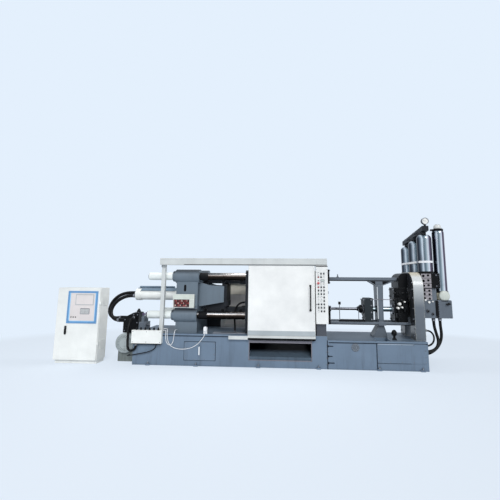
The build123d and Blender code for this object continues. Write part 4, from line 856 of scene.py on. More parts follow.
def makeBedSkins(b):
    # painted shade: the column under the button panel is in a darker tone of the bed's colour
    mesh = bmesh.new()
    low, high, face = b["column"]
    skin = 0.0015
    addPlate(mesh, (b["columnEdges"][0], low), (b["columnEdges"][1] + skin, high), 0.004, face, skin)
    for x in b["columnEdges"]:
        addBox(mesh, (x, face, low), (x + skin, face + 0.05, high))
    finishMesh("columnSkin", mesh, "columnShade", bevel=0.0005)
    # lip and side cheeks round the drop-out recess
    addBoxPiece("recessFrame", b["recessFrame"], "bedLip", 0.0015)
    # near-black lining of the recess, painted shade inside it, and the dark strip between the door's guide and the
    # recess, painted shade under the door
    addBoxPiece("recessShadeLining", b["recessShadeLining"], "recessShadeDark", 0.0005)
    addBoxPiece("guideShade", b["guideShade"], "blackGap", 0.0005)
    # black plate over the tail casting's oblong slot, painted shade of its hollow
    addPlatePiece("castingSlot", *b["castingSlot"], 0.022, b["castingFace"], 0.004, "blackGap", "frame_steel",
                  bevel=0.0005)


makeBedRims(bed)
makeBedJointsAndShadow(bed)
makeBedScrews(bed)
makeBedSkins(bed)

# sliding door: folded foot, stiffening folds, blind rivets and the handle's feet
door = {
    "left": -0.585, "right": 0.822, "top": 2.1, "face": -0.682,
    "footLow": 0.65, "footHigh": 0.75, "footDepth": 0.004, "footInset": 0.006,
    "foldWidth": 0.022, "foldDepth": 0.0025, "foldInset": 0.012,
    "rivetRows": 9, "rivetStep": 0.155, "rivetLow": 0.8, "footRivets": 8, "footRivetStep": 0.17,
    "rivetShape": [(0, 0.006), (0.0015, 0.0055), (0.003, 0.003)],
    "handleX": 0.726, "handleEnds": (1.174, 1.677),
    "handleFoot": [(0, 0.024), (0.006, 0.023), (0.012, 0.017), (0.016, 0.0145)],
}


def makeDoorTrim(d):
    left, right, face = d["left"], d["right"], d["face"]
    mesh = bmesh.new()
    # the folded foot in a darker copy of the door's white: painted shade on its downward slant
    x0, x1 = left + d["footInset"], right - d["footInset"]
    outline = [(x0, d["footLow"]), (x1, d["footLow"]), (x1, d["footHigh"]), (x0, d["footHigh"])]
    addSlab(mesh, outline, (0, face - d["footDepth"], 0), toRight, up, -d["footDepth"])
    finishMesh("doorFoot", mesh, "doorShade", body="front_door", bevel=0.0012)
    mesh = bmesh.new()
    for x in (left + d["foldInset"], right - d["foldInset"] - d["foldWidth"]):
        addBox(mesh, (x, face - d["foldDepth"], d["footHigh"] + 0.003),
               (x + d["foldWidth"], face, d["top"] + 0.045))
    finishMesh("doorFolds", mesh, "doorPaint", body="front_door", bevel=0.001)
    mesh = bmesh.new()
    middle = d["foldInset"] + d["foldWidth"] / 2
    for k in range(d["rivetRows"]):
        for x in (left + middle, right - middle):
            place = (x, face - d["foldDepth"], d["rivetLow"] + d["rivetStep"] * k)
            addTurned(mesh, place, front, d["rivetShape"], 14)
    footMiddle = (d["footLow"] + d["footHigh"]) / 2
    for k in range(d["footRivets"]):
        place = (left + 0.11 + d["footRivetStep"] * k, face - d["footDepth"], footMiddle)
        addTurned(mesh, place, front, d["rivetShape"], 14)
    finishMesh("doorRivets", mesh, "doorShade", body="front_door")
    mesh = bmesh.new()
    for z in d["handleEnds"]:
        addTurned(mesh, (d["handleX"], face, z), front, d["handleFoot"], 28)
    finishMesh("doorHandleFeet", mesh, "blackPlastic", body="front_door")


makeDoorTrim(door)

# top rail and guard post: end caps, splice seams, screws
rail = {
    "left": -2.52, "right": 1.075, "low": 2.105, "high": 2.25, "front": -0.7, "back": -0.52,
    "capDepth": 0.004, "splices": (-1.34, -0.14, 0.86), "spliceWidth": 0.05, "foldHeight": 0.012,
    "postLeft": -2.51, "postRight": -2.43, "postFront": -0.6, "postFoot": 0.662, "postRows": (2.065, 2.09),
    "shadowLeft": -1.99, "panelShadow": ((0.84, -0.7085, 2.078), (1.088, -0.705, 2.096)),
    "screws": 12, "screwStep": 0.312, "screwY": -0.61,
}


def makeRailTrim(r):
    mesh = bmesh.new()
    cap = r["capDepth"]
    for x, push in ((r["left"], -cap), (r["right"], cap)):
        x0, x1 = sorted((x, x + push))
        addBox(mesh, (x0, r["front"] + cap, r["low"] + cap), (x1, r["back"] - cap, r["high"] - cap))
    for x in r["splices"]:
        addBox(mesh, (x, r["front"] - 0.0015, r["low"] + 0.001),
               (x + r["spliceWidth"], r["front"], r["high"] - 0.001))
    for z in (r["low"] + 0.012, r["high"] - 0.03):
        addBox(mesh, (r["left"], r["front"] - 0.003, z), (r["right"], r["front"], z + r["foldHeight"]))
    addBox(mesh, (r["postLeft"] - 0.012, r["postFront"] - 0.008, r["low"] - 0.05),
           (r["postRight"] + 0.012, r["postFront"] - 0.001, r["low"]))
    finishMesh("railTrim", mesh, "guardPaint", bevel=0.001)
    # painted shadow: black strips along the rail's lower front edge and below the rail over the button panel
    shadowStrip = ((r["shadowLeft"], r["front"] - 0.004, r["low"] + 0.0005), (r["right"], r["front"], r["low"] + 0.013))
    addBoxPiece("railShadow", [shadowStrip, r["panelShadow"]], "blackGap", 0.0008)
    mesh = bmesh.new()
    along = [r["left"] + 0.08 + k * r["screwStep"] for k in range(r["screws"])]
    addBolts(mesh, grid(along, (r["screwY"],), (r["high"],)), up, 0.012, 0.007, True)
    footXs = (r["postLeft"] - 0.006, r["postRight"] + 0.006)
    addBolts(mesh, grid(footXs, (-0.605, -0.512), (r["postFoot"],)), up, 0.013, 0.009)
    topXs = (r["postLeft"] + 0.015, r["postRight"] - 0.015)
    addBolts(mesh, grid(topXs, (r["postFront"] - 0.008,), r["postRows"]), front, 0.011, 0.006, True)
    finishMesh("railScrews", mesh, "boltSteel")


makeRailTrim(rail)

# button panel: bezels and coloured caps over the CAD buttons, blank plates, meter, stop button, hinges
buttons = {
    "face": -0.705, "columns": (0.892, 0.95, 1.008), "top": 1.93, "step": 0.07,
    # one letter a button, a dot where the meter or the stop button takes its place
    "caps": ["wkk", "rkw", "...", ".ww", "rkk", "kkk", "gkk", "wwk", "wwk", "kkk", "kkk", "wkk"],
    "looks": {"g": "capGreen", "r": "capRed", "w": "capWhite", "k": "capDark"},
    "bezel": [(0, 0.0185), (0.004, 0.018), (0.006, 0.016), (0.006, 0.0132)],
    "cap": [(0.002, 0.0135), (0.011, 0.0135), (0.013, 0.012), (0.0135, 0.006), (0.013, 0.001)],
    "plateHalf": 0.017, "plateLow": 0.021, "plateHigh": 0.034, "plateDepth": 0.0012,
    "stop": (0.889, 1.735), "stopRing": [(0, 0.032), (0.003, 0.032), (0.004, 0.03)],
    "stopCap": [(0, 0.012), (0.02, 0.012), (0.022, 0.021), (0.03, 0.022), (0.035, 0.018), (0.037, 0.008),
                (0.0372, 0.001)],
    "meter": (0.978, 1.79), "meterSize": (0.075, 0.046), "meterDepth": 0.01, "meterRim": 0.008,
    "hinges": (1.03, 1.52, 1.93), "screwXs": (0.853, 1.075), "screwZs": (0.93, 1.955, 2.02, 2.085),
    "lock": [(0, 0.012), (0.004, 0.012), (0.006, 0.01), (0.006, 0.004), (0.003, 0.003)],
}


def makeButtons(b):
    face = b["face"]
    darkRings, paleRings, plates = bmesh.new(), bmesh.new(), bmesh.new()
    caps = {letter: bmesh.new() for letter in b["looks"]}
    for row, letters in enumerate(b["caps"]):
        z = b["top"] - row * b["step"]
        for x, letter in zip(b["columns"], letters):
            if letter == ".":
                continue
            addTurned(paleRings if letter == "w" else darkRings, (x, face, z), front, b["bezel"], 28)
            addTurned(caps[letter], (x, face, z), front, b["cap"], 28)
            addPlate(plates, (x - b["plateHalf"], z + b["plateLow"]),
                     (x + b["plateHalf"], z + b["plateHigh"]), 0.002,
                     face - b["plateDepth"], b["plateDepth"])
    finishMesh("buttonRings", darkRings, "capDark")
    finishMesh("buttonRingsPale", paleRings, "plateGrey")
    finishMesh("buttonPlates", plates, "plateGrey")
    for letter, mesh in caps.items():
        finishMesh("buttonCaps_" + letter, mesh, b["looks"][letter])
    x, z = b["stop"]
    addTurnedPiece("stopDisc", (x, face, z), front, b["stopRing"], 36, "capPink")
    addTurnedPiece("stopButton", (x, face - 0.003, z), front, b["stopCap"], 36, "capRed")
    x, z = b["meter"]
    across, high = b["meterSize"][0] / 2, b["meterSize"][1] / 2
    addPlatePiece("meterCase", (x - across, z - high), (x + across, z + high), 0.006, face - b["meterDepth"],
                  b["meterDepth"], "keyGrey", "black_plastic", bevel=0.0015)
    across, high = across - b["meterRim"], high - b["meterRim"]
    addPlatePiece("meterFace", (x - across, z - high), (x + across, z + high), 0.003,
                  face - b["meterDepth"] - 0.0008, 0.001, "meterGreen", "screen_blue")
    mesh = bmesh.new()
    for z in b["hinges"]:
        addTurned(mesh, (1.094, -0.7, z), up, [(0, 0.006), (0.05, 0.006)], 18)
    addBolts(mesh, grid(b["screwXs"], (face,), b["screwZs"]), front, 0.009, 0.004, True)
    addTurned(mesh, (0.856, face, 1.3), front, b["lock"], 28)
    finishMesh("panelHardware", mesh, "boltSteel")


makeButtons(buttons)
print("bed, door, rail and buttons dressed")

# clamp end: bolt rings, tie bar ends with their wraps and sleeves, the pipe on the cylinder
clamp = {
    "axisHeight": 1.44, "tieSide": 0.42, "tieLeft": -2.85, "bossLeft": -2.225, "fixedFace": 0.925,
    "nutLength": 0.065, "nutRing": 0.099, "flangeFace": -2.265, "cylinderLeft": -3.3, "headBack": -3.185,
    "barEnd": [(0.0, 0.058), (0.004, 0.058), (0.006, 0.055), (0.006, 0.022), (0.002, 0.02)],
    "wrap": [(0, 0.0803), (0.004, 0.0845), (0.541, 0.0845), (0.545, 0.0803)],
    "sleeveLeft": -1.694,
    "sleeve": [(0, 0.0803), (0.003, 0.086), (0.15, 0.086), (0.154, 0.084), (0.19, 0.084), (0.194, 0.0803)],
    "pipeEnds": (-3.235, -2.42), "pipeLow": 1.585, "pipeHigh": 1.612, "pipeRadius": 0.022,
    "coverLeft": -3.17, "coverLength": 0.88, "coverOuter": 0.153, "coverInner": 0.1415,
}


def makeClampTrim(c):
    axis = c["axisHeight"]
    corners = [(side * c["tieSide"], axis + way * c["tieSide"]) for side in (-1, 1) for way in (-1, 1)]
    bolts = bmesh.new()
    for y, z in corners:
        boltRing(bolts, (c["bossLeft"] - c["nutLength"], y, z), toLeft, c["nutRing"], 8, 0.014, 0.01, 0.3, True)
        boltRing(bolts, (c["fixedFace"] + c["nutLength"], y, z), toRight, c["nutRing"], 8, 0.014, 0.01, 0.3, True)
    boltRing(bolts, (c["flangeFace"], 0, axis), toLeft, 0.182, 12, 0.026, 0.018, 0.13, True)
    boltRing(bolts, (c["cylinderLeft"], 0, axis), toLeft, 0.124, 8, 0.014, 0.01, 0.2, True)
    boltRing(bolts, (c["headBack"], 0, axis), toRight, 0.132, 8, 0.01, 0.006, 0.2)
    finishMesh("clampBolts", bolts, "boltSteel")
    mesh = bmesh.new()
    for y, z in corners:
        addTurned(mesh, (c["tieLeft"], y, z), toLeft, c["barEnd"], 40)
    finishMesh("tieBarEnds", mesh, "groundSteel")
    # stiff pipe along the top of the clamp cylinder, between two port blocks, over a half-round cover
    mesh = bmesh.new()
    for x in c["pipeEnds"]:
        addBox(mesh, (x - 0.04, -0.045, axis + 0.118), (x + 0.04, 0.045, axis + 0.15))
    x0, x1 = c["pipeEnds"]
    pipeLine = [(x0, 0, c["pipeLow"]), (x0, 0, c["pipeHigh"]), (x1, 0, c["pipeHigh"]), (x1, 0, c["pipeLow"])]
    addTube(mesh, bentLine(pipeLine, 0.03, 10), c["pipeRadius"], 20)
    outline = []
    for radius, turns in ((c["coverOuter"], range(36, 145, 6)), (c["coverInner"], range(144, 35, -6))):
        outline += [(radius * math.cos(math.radians(t)),
                     axis + radius * math.sin(math.radians(t))) for t in turns]
    addSlab(mesh, outline, (c["coverLeft"], 0, 0), rear, up, c["coverLength"])
    finishMesh("clampPipe", mesh, "pipeBlue", bevel=0.002)
    # pale greased wraps on the tie bars' free ends, black sleeves where they leave the casting
    mesh = bmesh.new()
    for y, z in corners:
        addTurned(mesh, (c["tieLeft"] + 0.012, y, z), toRight, c["wrap"], 40, closed=False)
    finishMesh("tieBarWraps", mesh, "wrapPale")
    mesh = bmesh.new()
    for y, z in corners:
        addTurned(mesh, (c["sleeveLeft"], y, z), toRight, c["sleeve"], 40, closed=False)
    finishMesh("tieBarSleeves", mesh, "blackGap")


makeClampTrim(clamp)

# junction box: raised lid round its open window, rows of terminals and loose wires inside
junction = {
    "left": -2.241, "right": -1.774, "low": 1.185, "high": 1.472, "face": -0.58, "back": -0.524,
    "windowRight": -1.875, "windowHigh": 1.363,
    "terminalRows": (1.212, 1.262, 1.312), "terminals": 18, "terminalStep": 0.0178,
    "mix": ("pale", "dark", "dark", "red", "red"),
    "wires": 12, "wireStep": 0.0262, "wireRadius": 0.0022, "bow": 0.012,
}


def makeJunctionBox(j):
    edge, lid = 0.004, 0.0025
    mesh = bmesh.new()
    for x0, x1, z0, z1 in ((j["left"] + edge, j["right"] - edge, j["windowHigh"] + 0.006, j["high"] - edge),
                           (j["windowRight"] + 0.006, j["right"] - edge, j["low"] + edge, j["windowHigh"])):
        addBox(mesh, (x0, j["face"] - lid, z0), (x1, j["face"], z1))
    addBox(mesh, (j["right"], j["face"] + 0.002, j["low"] + edge),
           (j["right"] + 0.002, j["face"] + 0.06, j["high"] - edge))
    finishMesh("junctionLid", mesh, "lidGreen", bevel=0.001)
    backPlate = ((j["left"] + 0.014, j["back"] - 0.003, j["low"] + 0.014),
                 (j["windowRight"] - 0.002, j["back"], j["windowHigh"] - 0.002))
    addBoxPiece("junctionBack", [backPlate], "wineDark", 0.0005)
    rows = {"pale": bmesh.new(), "dark": bmesh.new(), "red": bmesh.new()}
    for k in range(j["terminals"]):
        x = j["left"] + 0.03 + k * j["terminalStep"]
        for row, z in enumerate(j["terminalRows"]):
            kind = j["mix"][(k * 3 // 4 + row * 2) % 5]
            addBox(rows[kind], (x, j["back"] - 0.03, z), (x + 0.0155, j["back"] - 0.002, z + 0.036))
    finishMesh("terminalRows", rows["pale"], "terminalTan", bevel=0.0015)
    finishMesh("terminalDark", rows["dark"], "wineDark", bevel=0.0015)
    finishMesh("terminalRed", rows["red"], "wireRed", bevel=0.0015)
    for name, finish, shift in (("wiresRed", "wireRed", 0.0), ("wiresBlack", "cableBlack", 0.006)):
        mesh = bmesh.new()
        for k in range(j["wires"]):
            x = j["left"] + 0.038 + k * j["wireStep"] + shift
            y = j["back"] - 0.034 - 0.004 * ((k * 7) % 3)
            bow = j["bow"] * math.sin(k * 1.9)
            upper = [(x, y + 0.004, 1.35), (x + bow, y - 0.004, 1.322), (x - bow, y, 1.288),
                     (x, y + 0.003, 1.262)]
            lower = [(x, y + 0.004, 1.23), (x - bow, y - 0.003, 1.21), (x, y, 1.2)]
            for wire in (upper, lower):
                addTube(mesh, bentLine(wire, 0.01, 3), j["wireRadius"], 6)
        finishMesh(name, mesh, finish)


makeJunctionBox(junction)

# terminal box: cable glands along its top, lid, foot and screws
terminal = {
    "left": -3.06, "right": -2.41, "low": 0.45, "high": 0.72, "face": -0.705, "back": -0.62,
    "glandStep": 0.095, "glands": 6, "lidInset": 0.008, "lidDepth": 0.006, "screwInset": 0.03,
    "glandNut": [(0, 0.0225), (0.012, 0.0225)],
    "glandCap": [(0, 0.0172), (0.018, 0.0172), (0.03, 0.0178), (0.04, 0.012), (0.042, 0.009)],
    "screw": [(0, 0.008), (0.002, 0.008), (0.0035, 0.006), (0.0035, 0.002), (0.002, 0.0015)],
}


def makeTerminalBox(t):
    mesh = bmesh.new()
    middle = (t["left"] + t["right"]) / 2
    y = (t["face"] + t["back"]) / 2
    for k in range(t["glands"]):
        x = middle + (k - (t["glands"] - 1) / 2) * t["glandStep"]
        addTurned(mesh, (x, y, t["high"] + 0.002), up, t["glandNut"], 6)
        addTurned(mesh, (x, y, t["high"] + 0.014), up, t["glandCap"], 24)
    finishMesh("glandNuts", mesh, "blackPlastic")
    mesh = bmesh.new()
    inset, lidFace = t["lidInset"], t["face"] - t["lidDepth"]
    addPlate(mesh, (t["left"] + inset, t["low"] + inset), (t["right"] - inset, t["high"] - inset), 0.012,
             lidFace, t["lidDepth"])
    finishMesh("terminalLid", mesh, "cabinetPaint", bevel=0.0015)
    foot = ((t["left"] + 0.01, t["face"] + 0.006, t["low"] - 0.02),
            (t["right"] - 0.01, t["back"] - 0.008, t["low"]))
    addBoxPiece("terminalFoot", [foot], "blackGap", 0.002)
    mesh = bmesh.new()
    inset = t["screwInset"]
    for place in grid((t["left"] + inset, middle, t["right"] - inset), (lidFace,),
                      (t["low"] + inset, t["high"] - inset)):
        addTurned(mesh, place, front, t["screw"], 20)
    finishMesh("terminalScrews", mesh, "boltSteel")


makeTerminalBox(terminal)
print("clamp end dressed")

# pump motor: cooling fins, fan cover with its slots, foot bolts and back cover
motor = {
    "x": -3.33, "z": 0.4, "radius": 0.198, "coverRadius": 0.21, "front": -0.43, "back": 0.26,
    "fins": 44, "finHeight": 0.01, "finHalf": 0.0022, "lowestFin": -0.35,
    "slotRings": 3, "slotsFirst": 22, "slotsMore": 6, "slotHalf": 0.006,
    "backCover": [(0, 0.09), (0.03, 0.088), (0.034, 0.08), (0.034, 0.035), (0.022, 0.03)],
}


def makeMotor(m):
    mesh = bmesh.new()
    for k in range(m["fins"]):
        turn = 2 * math.pi * k / m["fins"]
        if math.sin(turn) < m["lowestFin"]:
            continue
        matrix = Matrix.Translation((m["x"], 0, m["z"])) @ Matrix.Rotation(-turn, 4, "Y")
        addBox(mesh, (m["radius"] - 0.002, m["front"] + 0.062, -m["finHalf"]),
               (m["radius"] + m["finHeight"], m["back"] - 0.055, m["finHalf"]), matrix)
    finishMesh("motorFins", mesh, "motorPaint", smooth=False)
    mesh = bmesh.new()
    r = m["coverRadius"]
    addTurned(mesh, (m["x"], m["front"], m["z"]), front,
              [(0, r - 0.004), (0.008, r - 0.012), (0.016, r - 0.034), (0.019, r - 0.06), (0.019, r * 0.52),
               (0.014, r * 0.5), (0.014, r * 0.36), (0.024, r * 0.33), (0.026, r * 0.14), (0.022, r * 0.12)], 64)
    finishMesh("fanCover", mesh, "motorPaint")
    mesh = bmesh.new()
    matrix = aim((m["x"], m["front"] - 0.0185, m["z"]), front)
    half = m["slotHalf"]
    for ring in range(m["slotRings"]):
        radius = r * (0.58 + 0.09 * ring)
        count = m["slotsFirst"] + m["slotsMore"] * ring
        for k in range(count):
            spin = matrix @ Matrix.Rotation(2 * math.pi * k / count, 4, "Z")
            addBox(mesh, (radius - half, -0.0045, 0), (radius + half, 0.0045, 0.0012), spin)
    finishMesh("fanSlots", mesh, "blackPlastic", smooth=False)
    mesh = bmesh.new()
    boltRing(mesh, (m["x"], m["front"] - 0.008, m["z"]), front, r - 0.016, 6, 0.012, 0.007, 0.4)
    boltRing(mesh, (m["x"], m["back"], m["z"]), rear, r - 0.03, 8, 0.018, 0.012, 0.4)
    finishMesh("motorBolts", mesh, "boltSteel")
    addTurnedPiece("motorBack", (m["x"], m["back"], m["z"]), rear, m["backCover"], 40, "motorPaint")


makeMotor(motor)

# pump block: cover bolts, the valve on its ridge, and its blank ports
pump = {
    "left": -3.455, "right": -3.1, "low": 0.6, "high": 0.93, "ridge": 1.04, "ridgeX": -3.23,
    "front": -0.3, "back": -0.05, "inset": 0.035, "drop": 0.045, "sideBoltHeight": 0.82,
    "ridgeBolts": ((-3.2, -3.13), (-0.26, -0.09)), "valvePlace": (-3.165, -0.175),
    "valve": [(0, 0.048), (0.02, 0.048), (0.024, 0.042), (0.045, 0.04), (0.05, 0.026), (0.075, 0.025), (0.08, 0.018)],
    "port": [(0, 0.045), (0.02, 0.045), (0.024, 0.04), (0.03, 0.02)], "portPlace": (-3.32, 0.86),
    "union": [(0, 0.042), (0.014, 0.042), (0.016, 0.036)], "unionPlace": (-3.21, 0.93),
}


def makePump(p):
    bolts = bmesh.new()
    x0, x1, drop = p["left"] + p["inset"], p["right"] - p["inset"], p["drop"]
    for x, z in ((x0, p["high"] - drop), (x0, p["low"] + drop), (p["ridgeX"], p["ridge"] - drop),
                 (x1, p["ridge"] - drop), (x1, p["low"] + drop), (x1, p["sideBoltHeight"])):
        addBolt(bolts, (x, p["front"], z), front, 0.022, 0.016, True)
        addBolt(bolts, (x, p["back"], z), rear, 0.022, 0.016, True)
    addBolts(bolts, grid(*p["ridgeBolts"], (p["ridge"],)), up, 0.018, 0.014, True)
    finishMesh("pumpBolts", bolts, "boltSteel")
    mesh = bmesh.new()
    addTurned(mesh, (*p["valvePlace"], p["ridge"]), up, p["valve"], 32)
    addTurned(mesh, (p["portPlace"][0], p["front"], p["portPlace"][1]), front, p["port"], 32)
    addTurned(mesh, (p["unionPlace"][0], p["front"], p["unionPlace"][1]), front, p["union"], 6)
    finishMesh("pumpValve", mesh, "darkPaint")


makePump(pump)

# crimped collars where the hoses meet their fittings, as shares of the hose's radius
collars = {
    "grow": {"main_hose": 1.18, "main_hose_2": 1.18, "down_hose": 1.22, "platen_hose": 1.25, "end_hose_1": 1.26,
             "end_hose_2": 1.26, "drain_hose": 1.3},
    "nutGrow": 1.1, "nutLength": 0.7,
}


def makeCollars(c):
    mesh, nuts = bmesh.new(), bmesh.new()
    for name, grow in c["grow"].items():
        route, r = cords[name]["route"], cords[name]["diameter"] / 2
        wide, long = r * grow, r * c["nutLength"]
        for a, b in ((route[0], route[1]), (route[-1], route[-2])):
            way = (Vector(b) - Vector(a)).normalized()
            addTurned(nuts, a, way, [(0.0, wide * c["nutGrow"]), (long, wide * c["nutGrow"]),
                                     (r * 0.78, wide)], 6)
            addTurned(mesh, Vector(a) + way * long, way,
                      [(0, wide), (r * 0.3, wide), (r * 0.36, wide * 0.97), (r * 0.7, wide * 0.97), (r * 0.76, wide),
                       (r * 1.1, wide), (r * 1.2, r * 1.06)], 36)
    finishMesh("hoseCollars", mesh, "boltSteel")
    finishMesh("hoseNuts", nuts, "darkPaint", bevel=0.002)


makeCollars(collars)

# shot end: bolts, guide bushes, thin rods, switches, welds and shades of the injection frame
shot = {
    "axis": 1.165, "headLeft": 1.935, "headRight": 2.125, "boltY": 0.145, "headSideY": 0.18,
    "cylinderLeft": 2.585, "frameLeft": 2.9, "frameRight": 3.107, "frameBoltY": 0.43, "endPlate": 1.188,
    "headRows": (0.95, 1.1, 1.25, 1.37), "cylinderRows": (0.95, 1.45, 1.595),
    "frameRows": (0.66, 0.8, 1.0, 1.22, 1.44, 1.62, 1.76),
    "headBush": [(0, 0.085), (0.014, 0.085), (0.018, 0.08), (0.018, 0.0565)],
    "cylinderBush": [(0, 0.105), (0.02, 0.105), (0.025, 0.1), (0.025, 0.0565)],
    # thin rods: the line and its radius
    "rods": [([(2.126, -0.16, 1.385), (2.36, -0.16, 1.385), (2.584, -0.16, 1.385)], 0.009),
             ([(1.39, -0.19, 0.906), (1.39, -0.19, 1.1), (1.39, -0.19, 1.315)], 0.008),
             ([(1.8, -0.205, 0.906), (1.8, -0.205, 1.05), (1.8, -0.205, 1.2)], 0.007),
             ([(1.39, 0.0, 1.868), (1.39, 0.0, 1.9), (1.39, 0.0, 1.935)], 0.012)],
    "switches": [((1.368, -0.21, 0.905), (1.412, -0.17, 0.935)), ((1.778, -0.225, 0.905), (1.822, -0.185, 0.935)),
                 ((1.365, -0.225, 1.27), (1.415, -0.168, 1.33)),
                 ((1.78, -0.235, 1.185), (1.82, -0.18, 1.235)),
                 ((2.446, -0.43, 0.57), (2.525, -0.37, 0.6)),
                 ((1.405, -0.232, 0.906), (1.93, -0.165, 0.955))],      # the last is the black scale cover
    "knobPlace": (2.486, -0.4, 0.6),
    "knob": [(0, 0.026), (0.05, 0.024), (0.062, 0.046), (0.09, 0.056), (0.125, 0.054), (0.155, 0.04),
             (0.172, 0.018), (0.176, 0.006)],
    "lifterPlace": (1.39, 0, 1.868), "lifter": [(0, 0.026), (0.012, 0.026), (0.014, 0.02)],
    "welds": ((2.065, 1.781, 2.22, 1.688), (2.37, 1.688, 2.62, 1.781)), "weldY": 0.07, "weldRadius": 0.006,
    "beamFace": -0.0715, "beamLow": 1.782, "shadeLeft": 1.166,
    "gussets": ([(2.1, 1.778), (2.216, 1.778), (2.216, 1.704)], [(2.374, 1.704), (2.374, 1.778), (2.545, 1.778)]),
    "endPlates": ((-0.152, 0.152, 1.718, 2.037), (-0.237, -0.148, 0.843, 1.227), (0.148, 0.237, 0.843, 1.227)),
    "pillarHighlight": ((2.224, -0.1515, 0.96), (2.243, -0.15, 1.66)),
    "railSaddle": ((2.215, -0.241, 0.835), (2.372, -0.235, 0.915)),
}


def makeShotBolts(s):
    mesh = bmesh.new()
    axis, left, across = s["axis"], s["headLeft"], (-s["boltY"], s["boltY"])
    addBolts(mesh, grid((left + 0.02,), across, (0.955,)), toLeft, 0.026, 0.018, True)
    addBolts(mesh, grid((left,), across, (1.37,)), toLeft, 0.026, 0.018, True)
    addBolts(mesh, grid((s["cylinderLeft"],), across, s["cylinderRows"]), toLeft, 0.03, 0.02, True)
    boltRing(mesh, (left, 0, axis), toLeft, 0.098, 8, 0.016, 0.011, 0.2, True)
    boltRing(mesh, (s["cylinderLeft"], 0, axis), toLeft, 0.125, 10, 0.022, 0.016, 0.2, True)
    addBolts(mesh, grid((s["endPlate"],), (-0.12, 0.12), (1.74, 2.015)), toRight, 0.028, 0.018)
    addBolts(mesh, grid((s["endPlate"],), (-0.192, 0.192), (0.93, 1.2)), toRight, 0.028, 0.018)
    for side in (-1, 1):
        head = grid((s["headRight"] - 0.04,), (side * s["headSideY"],), s["headRows"])
        addBolts(mesh, head, (0, side, 0), 0.022, 0.014, True)
        for x, way in ((s["frameRight"], toRight), (s["frameLeft"], toLeft)):
            addBolts(mesh, grid((x,), (side * s["frameBoltY"],), s["frameRows"]), way, 0.026, 0.018, True)
    finishMesh("shotBolts", mesh, "boltSteel")
    mesh = bmesh.new()
    addTurned(mesh, (left, 0, axis), toLeft, s["headBush"], 40)
    addTurned(mesh, (s["cylinderLeft"], 0, axis), toLeft, s["cylinderBush"], 40)
    finishMesh("rodBushes", mesh, "groundSteel")


makeShotBolts(shot)

# solenoid valves on the shot cylinder: a body with round coils at both ends and a plug on its face
valves = {
    # low corner, high corner, the way its coils point
    "places": [((2.6, -0.262, 1.33), (2.7, -0.182, 1.43), toRight),
               ((2.62, -0.272, 1.48), (2.72, -0.182, 1.58), toRight),
               ((2.6, -0.262, 1.0), (2.72, -0.182, 1.1), up),
               ((2.74, -0.252, 1.18), (2.84, -0.182, 1.29), up)],
    "coil": [(0, 0.024), (0.004, 0.027), (0.052, 0.027), (0.056, 0.024), (0.06, 0.012), (0.07, 0.011), (0.072, 0.008)],
    # white caps standing for glints among the black valves, painted highlights: x, z, radius
    "glintPlugs": ((2.672, 1.3, 0.034), (2.722, 1.225, 0.02), (2.64, 1.21, 0.024), (2.78, 1.345, 0.018)),
    "glintPlugFoot": -0.18,
}


def makeValves(v):
    bodies, coils = bmesh.new(), bmesh.new()
    for low, high, way in v["places"]:
        addBox(bodies, low, high)
        way, middle = Vector(way), (Vector(low) + Vector(high)) / 2
        reach = way.dot(Vector(high) - Vector(low)) / 2
        for side in (-1, 1):
            addTurned(coils, middle + way * side * reach, way * side, v["coil"], 28)
        face = low[1]
        for half, y0, y1 in ((0.018, face - 0.026, face), (0.013, face - 0.032, face - 0.026)):
            addBox(coils, (middle.x - half, y0, middle.z - half), (middle.x + half, y1, middle.z + half))
    finishMesh("valveBodies", bodies, "darkPaint", bevel=0.004)
    finishMesh("valveCoils", coils, "blackPlastic", bevel=0.002)
    # white caps: painted highlights
    mesh = bmesh.new()
    for x, z, r in v["glintPlugs"]:
        addTurned(mesh, (x, v["glintPlugFoot"], z), front,
                  [(0, r), (0.09, r), (0.098, r * 0.85), (0.102, r * 0.4)], 28)
    finishMesh("valveGlintPlugs", mesh, "capWhite")


makeValves(valves)


